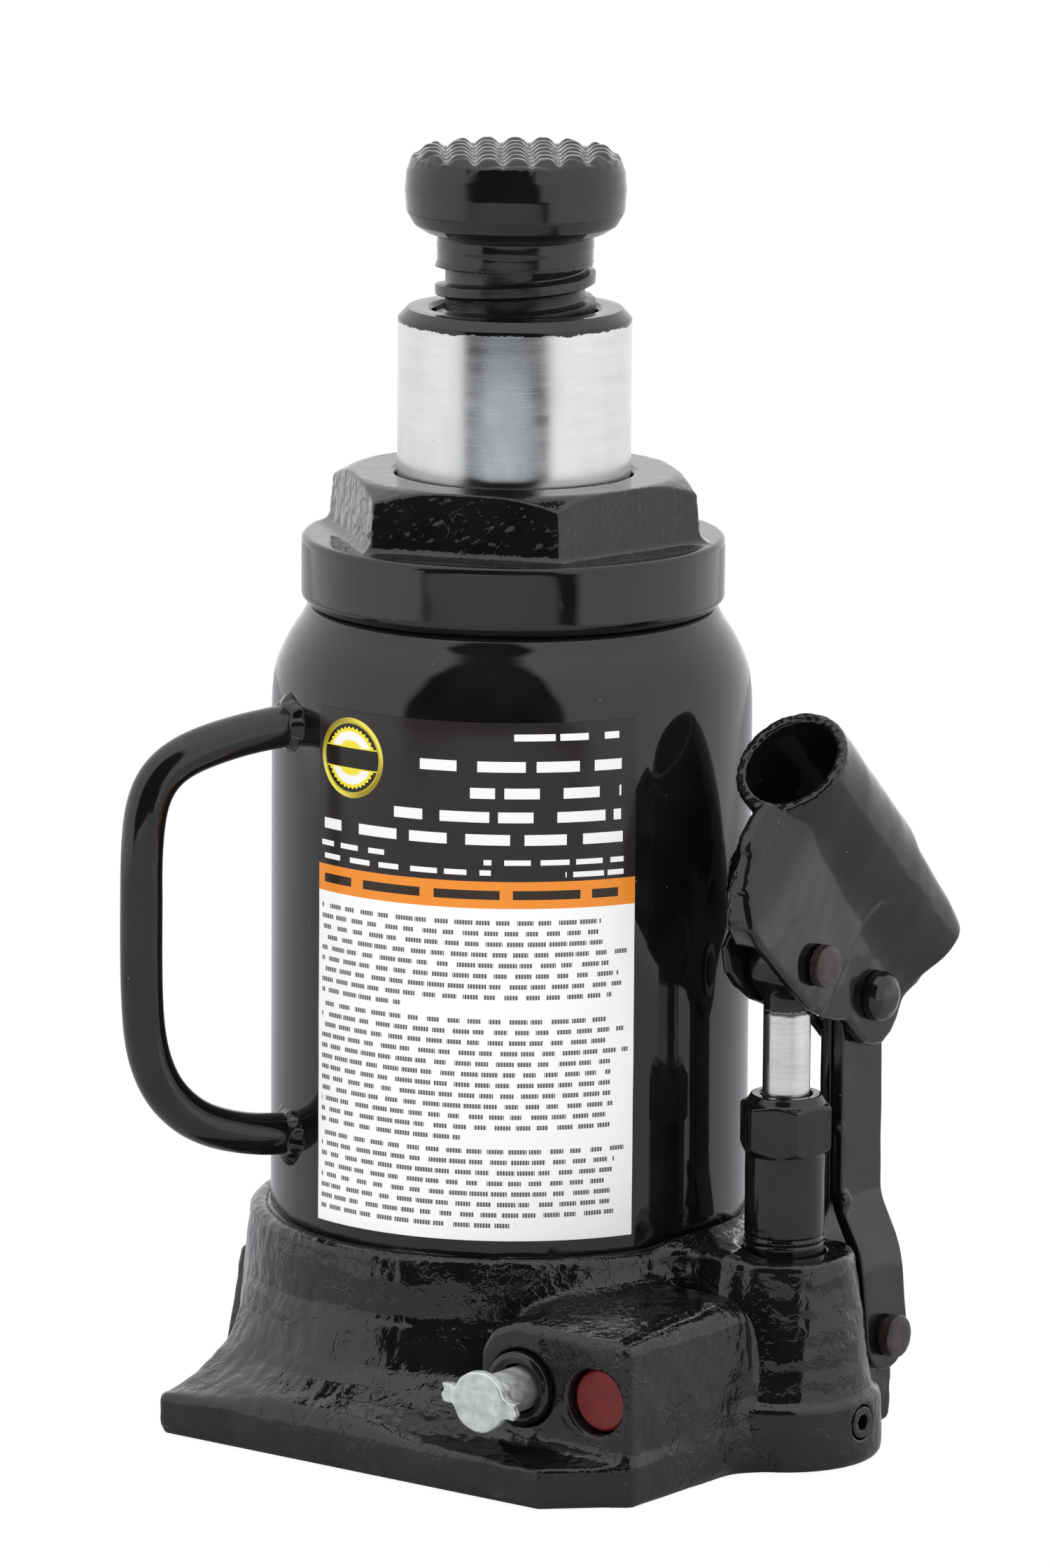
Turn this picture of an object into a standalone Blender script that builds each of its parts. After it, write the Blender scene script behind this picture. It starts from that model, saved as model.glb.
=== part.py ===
# Hydraulic bottle jack, 20-tonne class, with a pump at its side.
# Origin on the ram axis at the underside of the base, +Z up. The operator and the
# release valve are at the front (-Y), the pump is on the right (+X).
# Sizes are in millimetres; make_piece converts them to metres.
import bpy
import bmesh
import math
from mathutils import Vector, Matrix

for old_object in list(bpy.data.objects):
    bpy.data.objects.remove(old_object, do_unlink=True)

METRES_PER_MM = 0.001
ORIGIN = (0, 0, 0)
X_AXIS, Y_AXIS, Z_AXIS = (1, 0, 0), (0, 1, 0), (0, 0, 1)

# ---- driving dimensions (mm) ----
GAP = 0.3                       # clearance between neighbouring pieces

CYLINDER_R = 34.5
CYLINDER_BORE = 29.0            # radius
BORE_FIT_R = CYLINDER_BORE - 0.4    # parts that fit inside the cylinder
RAM_R = 26.0
RAM_TOP = 248.4                 # as posed, 34.6 above the closed height

SCREW_ROOT_R = 15.5
SCREW_CREST_R = 17.7
SCREW_PITCH = 6.2
THREAD_BOTTOM = 182.0
THREAD_SEGMENTS = 20

TANK_R = 53.6
TANK_WALL = 3.0

PUMP_X = 75.45
PUMP_AT = (PUMP_X, 0, 0)
PLUNGER_PIN = (0.0, 110.6)      # pin centres as (y, z)
LINK_TOP_PIN = (25.3, 99.2)
LINK_BOTTOM_PIN = (26.0, 22.2)

DELIVERY_Z = 9.4                # height of the low drilling along X
SUCTION_Z = 27.0                # height of the upper drilling along X
RELEASE_X, RELEASE_Z = 48.8, 22.4
RELEASE_AT = (RELEASE_X, 0, RELEASE_Z)
SAFETY_X, SAFETY_Z = 68.5, 22.2
SAFETY_AT = (SAFETY_X, 0, SAFETY_Z)


# ---- materials ----
def material(name, color, roughness, metallic=0.0):
    mat = bpy.data.materials.new(name)
    mat.use_nodes = True
    shader = mat.node_tree.nodes["Principled BSDF"]
    shader.inputs["Base Color"].default_value = (*color, 1.0)
    shader.inputs["Roughness"].default_value = roughness
    shader.inputs["Metallic"].default_value = metallic
    mat.diffuse_color = (*color, 1.0)
    return mat


def enamel(name, roughness):
    return material(name, color=(0.012, 0.012, 0.014), roughness=roughness)


def metal(name, color, roughness):
    return material(name, color=color, roughness=roughness, metallic=1.0)


BASE_ENAMEL = enamel("base_enamel", roughness=0.30)
TANK_ENAMEL = enamel("tank_enamel", roughness=0.12)
NUT_ENAMEL = enamel("nut_enamel", roughness=0.28)
SCREW_ENAMEL = enamel("screw_enamel", roughness=0.2)
HANDLE_ENAMEL = enamel("handle_enamel", roughness=0.15)
PUMP_ENAMEL = enamel("pump_enamel", roughness=0.18)
SOCKET_ENAMEL = enamel("socket_enamel", roughness=0.16)
PIN_ENAMEL = enamel("pin_enamel", roughness=0.2)
LINK_ENAMEL = enamel("link_enamel", roughness=0.22)

CYLINDER_STEEL = metal("cylinder_steel", color=(0.55, 0.55, 0.56), roughness=0.35)
RAM_STEEL = metal("ram_steel", color=(0.75, 0.75, 0.76), roughness=0.22)
WASHER_STEEL = metal("washer_steel", color=(0.6, 0.6, 0.6), roughness=0.4)
SPRING_STEEL = metal("spring_steel", color=(0.35, 0.35, 0.36), roughness=0.4)
PLUNGER_STEEL = metal("plunger_steel", color=(0.7, 0.7, 0.7), roughness=0.25)
COPPER = metal("copper", color=(0.7, 0.35, 0.2), roughness=0.4)
COPPER_WASHER = metal("copper_washer", color=(0.7, 0.35, 0.2), roughness=0.4)
PIN_STEEL = material("pin_steel", color=(0.16, 0.12, 0.10), roughness=0.5, metallic=0.8)
RELEASE_ZINC = material("release_zinc", color=(0.62, 0.66, 0.64), roughness=0.45, metallic=0.9)

BLACK_RUBBER = material("black_rubber", color=(0.02, 0.02, 0.02), roughness=0.7)
SEAL_RUBBER = material("seal_rubber", color=(0.03, 0.03, 0.03), roughness=0.6)
WIPER_RUBBER = material("wiper_rubber", color=(0.02, 0.02, 0.02), roughness=0.6)
SEAL_URETHANE = material("seal_urethane", color=(0.05, 0.05, 0.06), roughness=0.5)
GASKET_FIBRE = material("gasket_fibre", color=(0.25, 0.2, 0.15), roughness=0.8)
LABEL_PRINT = material("label_print", color=(0.7, 0.7, 0.7), roughness=0.3)
SAFETY_RED = material("safety_cap_red", color=(0.35, 0.03, 0.025), roughness=0.55)


# ---- outlines ----
def polar(radius, angle, centre=(0, 0)):
    return (centre[0] + radius * math.cos(angle), centre[1] + radius * math.sin(angle))


def rotated(x, y, angle):
    return (x * math.cos(angle) - y * math.sin(angle), x * math.sin(angle) + y * math.cos(angle))


def arc(centre, radius, start, end, steps):
    """Points along an arc; start and end are in degrees."""
    return [polar(radius, math.radians(start + (end - start) * i / steps), centre)
            for i in range(steps + 1)]


def hexagon(radius, phase=0.0, centre=(0, 0)):
    return [polar(radius, phase + math.pi / 3 * k, centre) for k in range(6)]


def rectangle(left, right, bottom, top):
    return [(left, bottom), (right, bottom), (right, top), (left, top)]


def split_ring(inner_radius, inner_degrees, outer_radius, outer_degrees):
    return ([polar(inner_radius, math.radians(degrees)) for degrees in inner_degrees]
            + [polar(outer_radius, math.radians(degrees)) for degrees in outer_degrees])


def rounded(outline, radii, steps):
    """Round an outline's corners, with one radius per corner."""
    points = []
    for i, radius in enumerate(radii):
        corner = Vector(outline[i])
        before = Vector(outline[i - 1])
        after = Vector(outline[(i + 1) % len(outline)])
        if radius <= 0:
            points.append((corner.x, corner.y))
            continue
        back = (before - corner).normalized()
        ahead = (after - corner).normalized()
        half_angle = back.angle(ahead) / 2
        setback = min(radius / math.tan(half_angle),
                      0.49 * (before - corner).length, 0.49 * (after - corner).length)
        fitted = setback * math.tan(half_angle)
        centre = corner + (back + ahead).normalized() * (fitted / math.sin(half_angle))
        first = corner + back * setback - centre
        last = corner + ahead * setback - centre
        sweep = first.angle_signed(last)
        for k in range(steps + 1):
            spoke = first.copy()
            spoke.rotate(Matrix.Rotation(-sweep * k / steps, 2))
            points.append((centre.x + spoke.x, centre.y + spoke.y))
    return points


# ---- solids, as bmeshes in millimetres ----
def bridge(mesh, ring, other):
    """Join two rings of vertices; a ring of one vertex is a pole."""
    if len(ring) == len(other) == 1:
        return
    count = max(len(ring), len(other))
    for k in range(count):
        after = (k + 1) % count
        if len(ring) == 1:
            mesh.faces.new((ring[0], other[k], other[after]))
        elif len(other) == 1:
            mesh.faces.new((ring[k], ring[after], other[0]))
        else:
            mesh.faces.new((ring[k], ring[after], other[after], other[k]))


def add_loft(mesh, start_points, end_points):
    """Add a capped solid between two matching outlines."""
    start = [mesh.verts.new(point) for point in start_points]
    end = [mesh.verts.new(point) for point in end_points]
    mesh.faces.new(start)
    mesh.faces.new(list(reversed(end)))
    bridge(mesh, end, start)


def axes_matrix(axis, at):
    """Matrix that takes +Z onto `axis`, at point `at`."""
    z = Vector(axis).normalized()
    x = Vector(X_AXIS) if abs(z.x) < 0.9 else Vector(Y_AXIS)
    x = (x - z * x.dot(z)).normalized()
    y = z.cross(x)
    matrix = Matrix((x, y, z)).transposed().to_4x4()
    matrix.translation = Vector(at)
    return matrix


def turned(profile, segments, axis=Z_AXIS, at=ORIGIN, phase=0.0):
    """Solid turned from a closed outline of (radius, distance along axis)."""
    mesh = bmesh.new()
    matrix = axes_matrix(axis, at)
    rings = []
    for radius, z in profile:
        if radius < 1e-6:
            points = [(0, 0, z)]
        else:
            points = [(*polar(radius, phase + math.tau * k / segments), z)
                      for k in range(segments)]
        rings.append([mesh.verts.new(matrix @ Vector(point)) for point in points])
    for ring, other in zip(rings, rings[1:] + rings[:1]):
        bridge(mesh, ring, other)
    return mesh


def sleeve(inner, outer, low, high, segments, axis=Z_AXIS, at=ORIGIN):
    profile = [(inner, low), (outer, low), (outer, high), (inner, high)]
    return turned(profile, segments, axis, at)


def rod(radius, low, high, segments, axis=Z_AXIS, at=ORIGIN):
    return sleeve(0, radius, low, high, segments, axis, at)


def prism(outline, low, high, plane="XY"):
    """Straight prism; plane names the outline's two axes."""
    def points(level):
        if plane == "XY":
            return [(u, v, level) for u, v in outline]
        if plane == "XZ":
            return [(u, level, v) for u, v in outline]
        return [(level, u, v) for u, v in outline]
    mesh = bmesh.new()
    add_loft(mesh, points(low), points(high))
    return mesh


def swept(path, radius, sides, frame_up):
    """Round bar along a list of points, capped flat."""
    mesh = bmesh.new()
    points = [Vector(point) for point in path]
    rings = []
    for i, point in enumerate(points):
        if i == 0:
            tangent = points[1] - points[0]
        elif i == len(points) - 1:
            tangent = points[-1] - points[-2]
        else:
            tangent = (points[i + 1] - point).normalized() + (point - points[i - 1]).normalized()
        tangent.normalize()
        side = tangent.cross(Vector(frame_up)).normalized()
        lift = side.cross(tangent)
        ring = []
        for k in range(sides):
            angle = math.tau * k / sides
            spoke = side * math.cos(angle) + lift * math.sin(angle)
            ring.append(mesh.verts.new(point + spoke * radius))
        rings.append(ring)
    for ring, other in zip(rings, rings[1:]):
        bridge(mesh, ring, other)
    mesh.faces.new(rings[0])
    mesh.faces.new(list(reversed(rings[-1])))
    return mesh


def threaded(low, high, root, crest, below, above, widen=0.0):
    """Right-hand trapezoidal thread between two heights, as one sheared grid.
    `below` and `above` are (radius, z) points that continue the thread's ends to the
    axis. `widen` moves both flanks apart, in pitches."""
    mesh = bmesh.new()
    # (distance in pitches, 0 at the root or 1 at the crest)
    tooth = [(-widen, 0), (0.10 - widen, 1), (0.42 + widen, 1), (0.52 + widen, 0)]
    turns = int(math.ceil((high - low) / SCREW_PITCH)) + 2
    fade_length = 0.6 * SCREW_PITCH
    grid = []
    for k in range(THREAD_SEGMENTS):
        column = []
        for turn in range(-1, turns):
            for rise, level in tooth:
                z = low + (turn + rise + k / THREAD_SEGMENTS) * SCREW_PITCH
                z = min(max(z, low), high)
                fade = min(1.0, max(0.0, (z - low) / fade_length),
                           max(0.0, (high - z) / fade_length))
                radius = root + (crest - root) * level * fade
                point = (*polar(radius, math.tau * k / THREAD_SEGMENTS), z)
                column.append(mesh.verts.new(point))
        grid.append(column)
    for k in range(THREAD_SEGMENTS):
        column, other = grid[k], grid[(k + 1) % THREAD_SEGMENTS]
        # the last column meets the first one turn further up
        shift = len(tooth) if k == THREAD_SEGMENTS - 1 else 0
        for i in range(len(column) - 1 - shift):
            j = i + shift
            mesh.faces.new((column[i], other[j], other[j + 1], column[i + 1]))
    # collapse everything clamped to either end
    bmesh.ops.remove_doubles(mesh, verts=mesh.verts, dist=1e-5)
    flat = [face for face in mesh.faces if face.calc_area() < 1e-9]
    if flat:
        bmesh.ops.delete(mesh, geom=flat, context='FACES')
    bmesh.ops.dissolve_degenerate(mesh, edges=mesh.edges, dist=1e-5)
    for end_z, points in ((low, below), (high, above)):
        ring = [vert for vert in mesh.verts if abs(vert.co.z - end_z) < 1e-4]
        ring.sort(key=lambda vert: math.atan2(vert.co.y, vert.co.x) % math.tau)
        angles = [math.atan2(vert.co.y, vert.co.x) for vert in ring]
        for radius, z in points:
            if radius < 1e-6:
                following = [mesh.verts.new((0, 0, z))]
            else:
                following = [mesh.verts.new((*polar(radius, angle), z)) for angle in angles]
            bridge(mesh, ring, following)
            ring = following
    return mesh


# ---- objects ----
def smooth(piece, degrees):
    piece.data.shade_smooth()
    piece.data.set_sharp_from_angle(angle=math.radians(degrees))


def make_piece(mesh, name, mat, origin=ORIGIN):
    bmesh.ops.remove_doubles(mesh, verts=mesh.verts, dist=1e-4)
    bmesh.ops.recalc_face_normals(mesh, faces=mesh.faces)
    bmesh.ops.translate(mesh, verts=mesh.verts, vec=-Vector(origin))
    bmesh.ops.scale(mesh, verts=mesh.verts, vec=(METRES_PER_MM,) * 3)
    data = bpy.data.meshes.new(name)
    mesh.to_mesh(data)
    mesh.free()
    piece = bpy.data.objects.new(name, data)
    bpy.context.scene.collection.objects.link(piece)
    piece.location = Vector(origin) * METRES_PER_MM
    if mat is not None:
        data.materials.append(mat)
    smooth(piece, 32.0)
    return piece


def make_tool(mesh):
    return make_piece(mesh, "tool", None)


def combine(piece, operation, tools):
    """Apply a Boolean with each tool (bmesh or object) in turn, then remove the tools."""
    tools = [tool if isinstance(tool, bpy.types.Object) else make_tool(tool) for tool in tools]
    for tool in tools:
        modifier = piece.modifiers.new("boolean", 'BOOLEAN')
        modifier.operation = operation
        modifier.object = tool
        modifier.solver = 'EXACT'
        bpy.context.view_layer.update()
        depsgraph = bpy.context.evaluated_depsgraph_get()
        result = bpy.data.meshes.new_from_object(piece.evaluated_get(depsgraph))
        piece.modifiers.clear()
        old_data = piece.data
        piece.data = result
        bpy.data.meshes.remove(old_data)
        bpy.data.objects.remove(tool, do_unlink=True)
    mesh = bmesh.new()
    mesh.from_mesh(piece.data)
    bmesh.ops.remove_doubles(mesh, verts=mesh.verts, dist=2e-6)
    bmesh.ops.dissolve_degenerate(mesh, edges=mesh.edges, dist=2e-6)
    mesh.to_mesh(piece.data)
    mesh.free()


def cut(piece, *tools):
    combine(piece, 'DIFFERENCE', tools)


def join(piece, *tools):
    combine(piece, 'UNION', tools)


def intersect(piece, *tools):
    combine(piece, 'INTERSECT', tools)


def dress(piece, mat, degrees=32.0):
    """Restore the name, material and shading that the Booleans disturb."""
    piece.data.name = piece.name
    piece.data.materials.clear()
    piece.data.materials.append(mat)
    for polygon in piece.data.polygons:
        polygon.material_index = 0
    smooth(piece, degrees)


def ball(name, radius, at):
    mesh = bmesh.new()
    bmesh.ops.create_uvsphere(mesh, u_segments=12, v_segments=8, radius=radius)
    bmesh.ops.translate(mesh, verts=mesh.verts, vec=Vector(at))
    make_piece(mesh, name, CYLINDER_STEEL, at)


def pin_hole(radius, reach, pin):
    return rod(radius, -reach, reach, 20, X_AXIS, (PUMP_X, *pin))


# ---- base casting ----
PLATE_T = 9.0
PLATE_SIDE = 77.9               # half width of the wide parts
PLATE_WAIST = 41.0              # half width of the narrow parts
PLATE_DEPTH = 74.3              # half depth
BLOCK_FRONT = -61.5
BOSS_TOP = 45.5
LUG_HALF_T = 6.4

# (radius, z)
BASE_RING = [(0, 0), (61.5, 0), (61.6, 14), (59.9, 25), (58.6, 39.5), (57.9, 43.6),
             (56.4, 45.9), (54.9, 46.4), (0, 46.4)]
APRON = [(0, 4), (90, 4), (90, 8.9), (76, 8.95), (70, 12.2), (63.5, 18.2), (58, 26), (0, 26)]
BOSS = [(0, 0), (21.9, 0), (21.7, 13.6), (20.1, 14.8), (17.3, 34), (16.3, 43.2),
        (14.6, BOSS_TOP), (0, BOSS_TOP)]
BASE_HOLLOW = [(0, 15.0), (35.0, 15.0), (35.0, 20.0), (49.5, 20.0), (49.5, 36.0),
               (54.3, 36.0), (54.3, 60.0), (0, 60.0)]
PUMP_BORE = [(0, 16.0), (7.6, 16.0), (7.6, 43.4), (9.2, 43.4), (9.2, 50.0), (0, 50.0)]
# (radius, x)
DELIVERY_BORE = [(0, -4), (1.9, -4), (1.9, 62.0), (3.2, 63.5), (3.2, 88.0), (3.9, 88.0),
                 (3.9, 100.0), (0, 100.0)]
SUCTION_BORE = [(0, 45.0), (1.6, 45.0), (1.6, 57.0), (2.9, 58.2), (2.9, 76.0), (0, 76.0)]
# (radius, y)
RELEASE_BORE = [(0, -66.0), (8.55, -66.0), (8.55, -55.5), (5.25, -55.5), (5.25, -31.5),
                (1.7, -28.5), (1.7, -4.0), (0, -4.0)]
SAFETY_BORE = [(0, -66.0), (7.35, -66.0), (7.35, -52.5), (4.3, -52.5), (4.3, -29.0),
               (1.5, -26.5), (1.5, -2.0), (0, -2.0)]
# (x, y)
FOOT = [(-50, 7), (-78.5, 6.5), (-78.5, 38), (-40, 44)]
# (x, z)
BLOCK = [(37.5, 4), (PLATE_SIDE - 0.15, 4), (PLATE_SIDE - 0.15, 36.4), (37.5, 36.0)]
# (y, z)
LUG = [(8, 0.6), (34.3, 0.6), (34.8, 2.0), *arc(LINK_BOTTOM_PIN, 8.9, 0, 100, 6),
       (14, 26), (8, 24)]


def footprint(inset=0.0, trim=0.0):
    """Plate outline (x, y), wide at the front right and the back left.
    `inset` draws the long sides in; `trim` moves the corners along them."""
    side, waist, depth = PLATE_SIDE - inset, PLATE_WAIST - inset, PLATE_DEPTH - inset
    return [(-waist, -depth), (62.8 - trim, -depth), (side, -60.2 + trim),
            (side, -5.0 - trim), (waist, 5.0), (waist, depth), (-62.8 + trim, depth),
            (-side, 60.2 - trim), (-side, 12.0 + trim), (-waist, -5.0)]


def build_base():
    base = make_piece(turned(BASE_RING, 40), "base_casting", BASE_ENAMEL)
    # the apron slopes from the ring down to the plate
    apron = make_tool(turned(APRON, 40, phase=0.03))
    intersect(apron, prism(footprint(inset=0.02, trim=0.2), 0, 40))
    plate = rounded(footprint(), [2.5, 3, 3, 0, 0, 2.5, 3, 3, 5, 0], 2)
    for part in (
            prism(plate, 0.0, PLATE_T),
            apron,
            # rear-left foot
            prism(rounded(FOOT, [0, 4, 6, 0], 3), 0.0, 22.6),
            # valve block at the front right
            prism(rounded(BLOCK, [0, 0, 5, 5], 4), BLOCK_FRONT, -22.0, "XZ"),
            # tapered pump boss and the web that ties it to the ring
            turned(BOSS, 28, at=PUMP_AT),
            prism(rectangle(46, 72, -15.2, 15.2), 2.0, 44.9),
            # link lug behind the boss
            prism(LUG, PUMP_X - LUG_HALF_T, PUMP_X + LUG_HALF_T, "YZ")):
        join(base, part)
    for hole in (
            turned(BASE_HOLLOW, 40),
            turned(PUMP_BORE, 20, at=PUMP_AT),
            # delivery drilling, with the set screw's counterbore, and its two risers
            turned(DELIVERY_BORE, 12, X_AXIS, (0, 0, DELIVERY_Z)),
            rod(2.4, DELIVERY_Z, 18.0, 10),
            rod(2.2, DELIVERY_Z, 18.0, 10, at=PUMP_AT),
            # suction drilling from the tank's floor to the pump bore
            turned(SUCTION_BORE, 12, X_AXIS, (0, 0, SUCTION_Z)),
            turned(RELEASE_BORE, 20, Y_AXIS, RELEASE_AT),
            turned(SAFETY_BORE, 20, Y_AXIS, SAFETY_AT),
            pin_hole(4.15, 9, LINK_BOTTOM_PIN)):
        cut(base, hole)
    dress(base, BASE_ENAMEL, 30)


# ---- tank and pressure cylinder ----
TANK_BOTTOM = 36.6
TANK_TOP = 182.0
FILLER_AZIMUTH = math.radians(112.0)    # at the back, a little to the left
FILLER_AXIS = (*polar(1.0, FILLER_AZIMUTH), 0.0)
FILLER_AT = (0, 0, 150.0)

# (outer radius, z, share of the wall taken off for the inner radius)
TANK_SHOULDER = [(TANK_R, 158.0, 1.0), (TANK_R - 0.25, 163.5, 1.0), (52.9, 167.0, 1.0),
                 (51.3, 171.4, 0.95), (48.8, 176.0, 0.85), (46.4, 179.6, 0.75)]
# (radius, distance out from the tank's axis)
FILLER_PLUG = [(0, 49.5), (5.7, 49.5), (5.7, 54.0), (7.6, 54.2), (7.6, 55.4), (6.6, 56.2),
               (0, 56.2)]


def build_tank():
    outside = [(radius, z) for radius, z, _ in TANK_SHOULDER]
    inside = [(radius - TANK_WALL * share, z) for radius, z, share in TANK_SHOULDER]
    profile = [(TANK_R - TANK_WALL, TANK_BOTTOM), (TANK_R, TANK_BOTTOM), *outside,
               (45.3, 181.0), (44.2, TANK_TOP), (42.6, TANK_TOP), *reversed(inside)]
    tank = make_piece(turned(profile, 40), "tank_shell", TANK_ENAMEL)
    cut(tank, rod(6.0, 44.0, 60.0, 20, FILLER_AXIS, FILLER_AT))
    dress(tank, TANK_ENAMEL, 30)
    make_piece(turned(FILLER_PLUG, 20, FILLER_AXIS, FILLER_AT), "oil_filler_plug", BLACK_RUBBER)
    make_piece(sleeve(50.4, 53.5, 36.2, 36.4, 28), "tank_bottom_gasket", GASKET_FIBRE)
    make_piece(sleeve(38.3, 42.2, 180.4, 182.1, 28), "tank_top_gasket", SEAL_RUBBER)


def build_cylinder():
    make_piece(sleeve(CYLINDER_BORE, CYLINDER_R, 16.9, 195.4, 32),
               "pressure_cylinder", CYLINDER_STEEL)
    make_piece(sleeve(29.2, 34.4, 15.3, 16.6, 24), "cylinder_gasket", COPPER)


# ---- top nut: hexagon and collar in one piece, with a skirt over the cylinder ----
NUT_ACROSS_FLATS = 73.8
NUT_PHASE = math.radians(19.5)
NUT_TOP = 211.8
NUT_FACE_R = 36.6               # top face inside the corner chamfers
NUT_CONE_R = 50.0
NUT_CHAMFER = math.radians(29)
NUT_BORE = RAM_R + GAP
SKIRT_BORE = CYLINDER_R + GAP
SKIRT_R = 37.9
COLLAR_R = 47.1
COLLAR_TOP = 197.7
COLLAR_BOTTOM = 182.4
WIPER_GROOVE_R = 28.4
WIPER_GROOVE_LOW, WIPER_GROOVE_HIGH = 202.9, 206.3

# (radius, z)
WIPER_GROOVE = [(NUT_BORE, WIPER_GROOVE_LOW), (WIPER_GROOVE_R, WIPER_GROOVE_LOW),
                (WIPER_GROOVE_R, WIPER_GROOVE_HIGH), (NUT_BORE, WIPER_GROOVE_HIGH)]
NUT_BODY = [(NUT_BORE, 190.2), (BORE_FIT_R, 190.2), (BORE_FIT_R, 196.0), (SKIRT_BORE, 196.0),
            (SKIRT_BORE, 171.0), (SKIRT_R, 171.0), (SKIRT_R, COLLAR_BOTTOM),
            (45.6, COLLAR_BOTTOM), (46.7, 184.0), (COLLAR_R, 185.3), (COLLAR_R, 196.7),
            (46.2, COLLAR_TOP), (33.0, COLLAR_TOP), (33.0, 204.0), (30.0, 208.0),
            (NUT_BORE, 208.0), *reversed(WIPER_GROOVE)]
NUT_CONE = [(0, 190), (NUT_CONE_R, 190),
            (NUT_CONE_R, NUT_TOP - (NUT_CONE_R - NUT_FACE_R) * math.tan(NUT_CHAMFER)),
            (NUT_FACE_R, NUT_TOP), (0, NUT_TOP)]
NUT_HOLE = [(0, 180), (NUT_BORE, 180), *WIPER_GROOVE, (NUT_BORE, 210.9),
            (RAM_R + 1.3, 212.2), (RAM_R + 1.3, 215), (0, 215)]


def build_top_nut():
    nut = make_piece(turned(NUT_BODY, 40), "top_nut", NUT_ENAMEL)
    corners = hexagon(NUT_ACROSS_FLATS / math.sqrt(3.0), NUT_PHASE)
    head = make_tool(prism(corners, 197.0, NUT_TOP))
    intersect(head, turned(NUT_CONE, 48))
    cut(head, turned(NUT_HOLE, 40))
    join(nut, head)
    dress(nut, NUT_ENAMEL, 30)
    make_piece(sleeve(RAM_R + 0.4, 28.0, WIPER_GROOVE_LOW + GAP, WIPER_GROOVE_HIGH - GAP, 40),
               "ram_wiper_seal", WIPER_RUBBER)


# ---- ram and piston seals ----
RAM_BOTTOM = 57.8
THREAD_CLEARANCE = 0.45
TAP_MINOR_R = SCREW_ROOT_R + THREAD_CLEARANCE
TAP_MAJOR_R = SCREW_CREST_R + THREAD_CLEARANCE
# whole pitches up from the screw's thread, so that both lie on one helix
TAP_LOW = THREAD_BOTTOM + 5 * SCREW_PITCH
TAP_HIGH = TAP_LOW + 6 * SCREW_PITCH
PISTON_WASHER_Z = 60.9
CUP_SEAL_Z = 63.0
SNAP_RING_Z = 59.1

# (radius, z)
RAM = [(0, RAM_BOTTOM), (11.9, RAM_BOTTOM), (11.9, 58.8), (10.9, 58.8), (10.9, 60.5),
       (11.9, 60.5), (11.9, 70.3), (BORE_FIT_R, 70.3), (BORE_FIT_R, 74.2), (RAM_R, 75.2),
       (RAM_R, 246.3), (24.2, RAM_TOP), (19.4, RAM_TOP), (18.6, RAM_TOP - 0.8),
       (18.6, RAM_TOP - 3.0), (TAP_MINOR_R, RAM_TOP - 5.0), (TAP_MINOR_R, 222.0),
       (18.6, 220.6), (18.6, 152.0), (0, 146.0)]
CUP_SEAL = [(12.3, CUP_SEAL_Z), (28.0, CUP_SEAL_Z), (28.75, 64.0), (28.75, 69.9),
            (26.5, 69.9), (26.0, 66.8), (13.5, 66.8), (12.3, 69.9)]


def build_ram():
    ram = make_piece(turned(RAM, 40), "ram", RAM_STEEL, (0, 0, RAM_BOTTOM))
    cut(ram, threaded(TAP_LOW, TAP_HIGH, 15.2, TAP_MAJOR_R,
                      below=[(0, TAP_LOW)], above=[(0, TAP_HIGH)], widen=0.055))
    dress(ram, RAM_STEEL, 30)


def build_piston_seals():
    make_piece(turned(CUP_SEAL, 28), "piston_cup_seal", SEAL_URETHANE, (0, 0, CUP_SEAL_Z))
    make_piece(sleeve(12.3, 27.4, PISTON_WASHER_Z, 62.7, 24),
               "piston_seal_washer", WASHER_STEEL, (0, 0, PISTON_WASHER_Z))
    outline = split_ring(11.2, range(20, 341, 20), 13.6, range(340, 19, -20))
    make_piece(prism(outline, SNAP_RING_Z, 60.2),
               "piston_snap_ring", SPRING_STEEL, (0, 0, SNAP_RING_Z))


# ---- extension screw with serrated head ----
SCREW_BOTTOM = 173.8
SCREW_SHOULDER = 262.2
SADDLE_R = 24.5
SADDLE_TOP = 284.0
STOP_RING_Z = 176.8
TOOTH_PITCH = 6.2
TOOTH_DEPTH = 1.9
SERRATION_ANGLE = math.radians(37.0)

# (radius, z), from the thread's ends to the axis
SCREW_TAIL = [(15.0, 178.6), (13.1, 178.6), (13.1, 176.4), (15.0, 176.4), (15.0, 175.2),
              (13.6, SCREW_BOTTOM), (0, SCREW_BOTTOM)]
SCREW_HEAD = [(SCREW_ROOT_R, SCREW_SHOULDER), (16.9, SCREW_SHOULDER + 0.5), (17.35, 262.9),
              (16.75, 265.4), (17.6, 266.2), (20.6, 266.9), (22.9, 268.3), (24.1, 270.6),
              (SADDLE_R, 274.6), (24.2, 278.6), (23.2, 281.6), (22.2, 282.9),
              (21.4, SADDLE_TOP), (12.0, SADDLE_TOP), (0, SADDLE_TOP)]


def vee_grooves(angle):
    """Eight parallel vee cutters across the head."""
    mesh = bmesh.new()
    half_width = TOOTH_DEPTH * 1.25
    for i in range(-4, 4):
        middle = (i + 0.5) * TOOTH_PITCH
        vee = [(middle - half_width, SADDLE_TOP + 0.5), (middle + half_width, SADDLE_TOP + 0.5),
               (middle, SADDLE_TOP - TOOTH_DEPTH)]
        add_loft(mesh, [(*rotated(-30, y, angle), z) for y, z in vee],
                 [(*rotated(30, y, angle), z) for y, z in vee])
    return mesh


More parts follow.
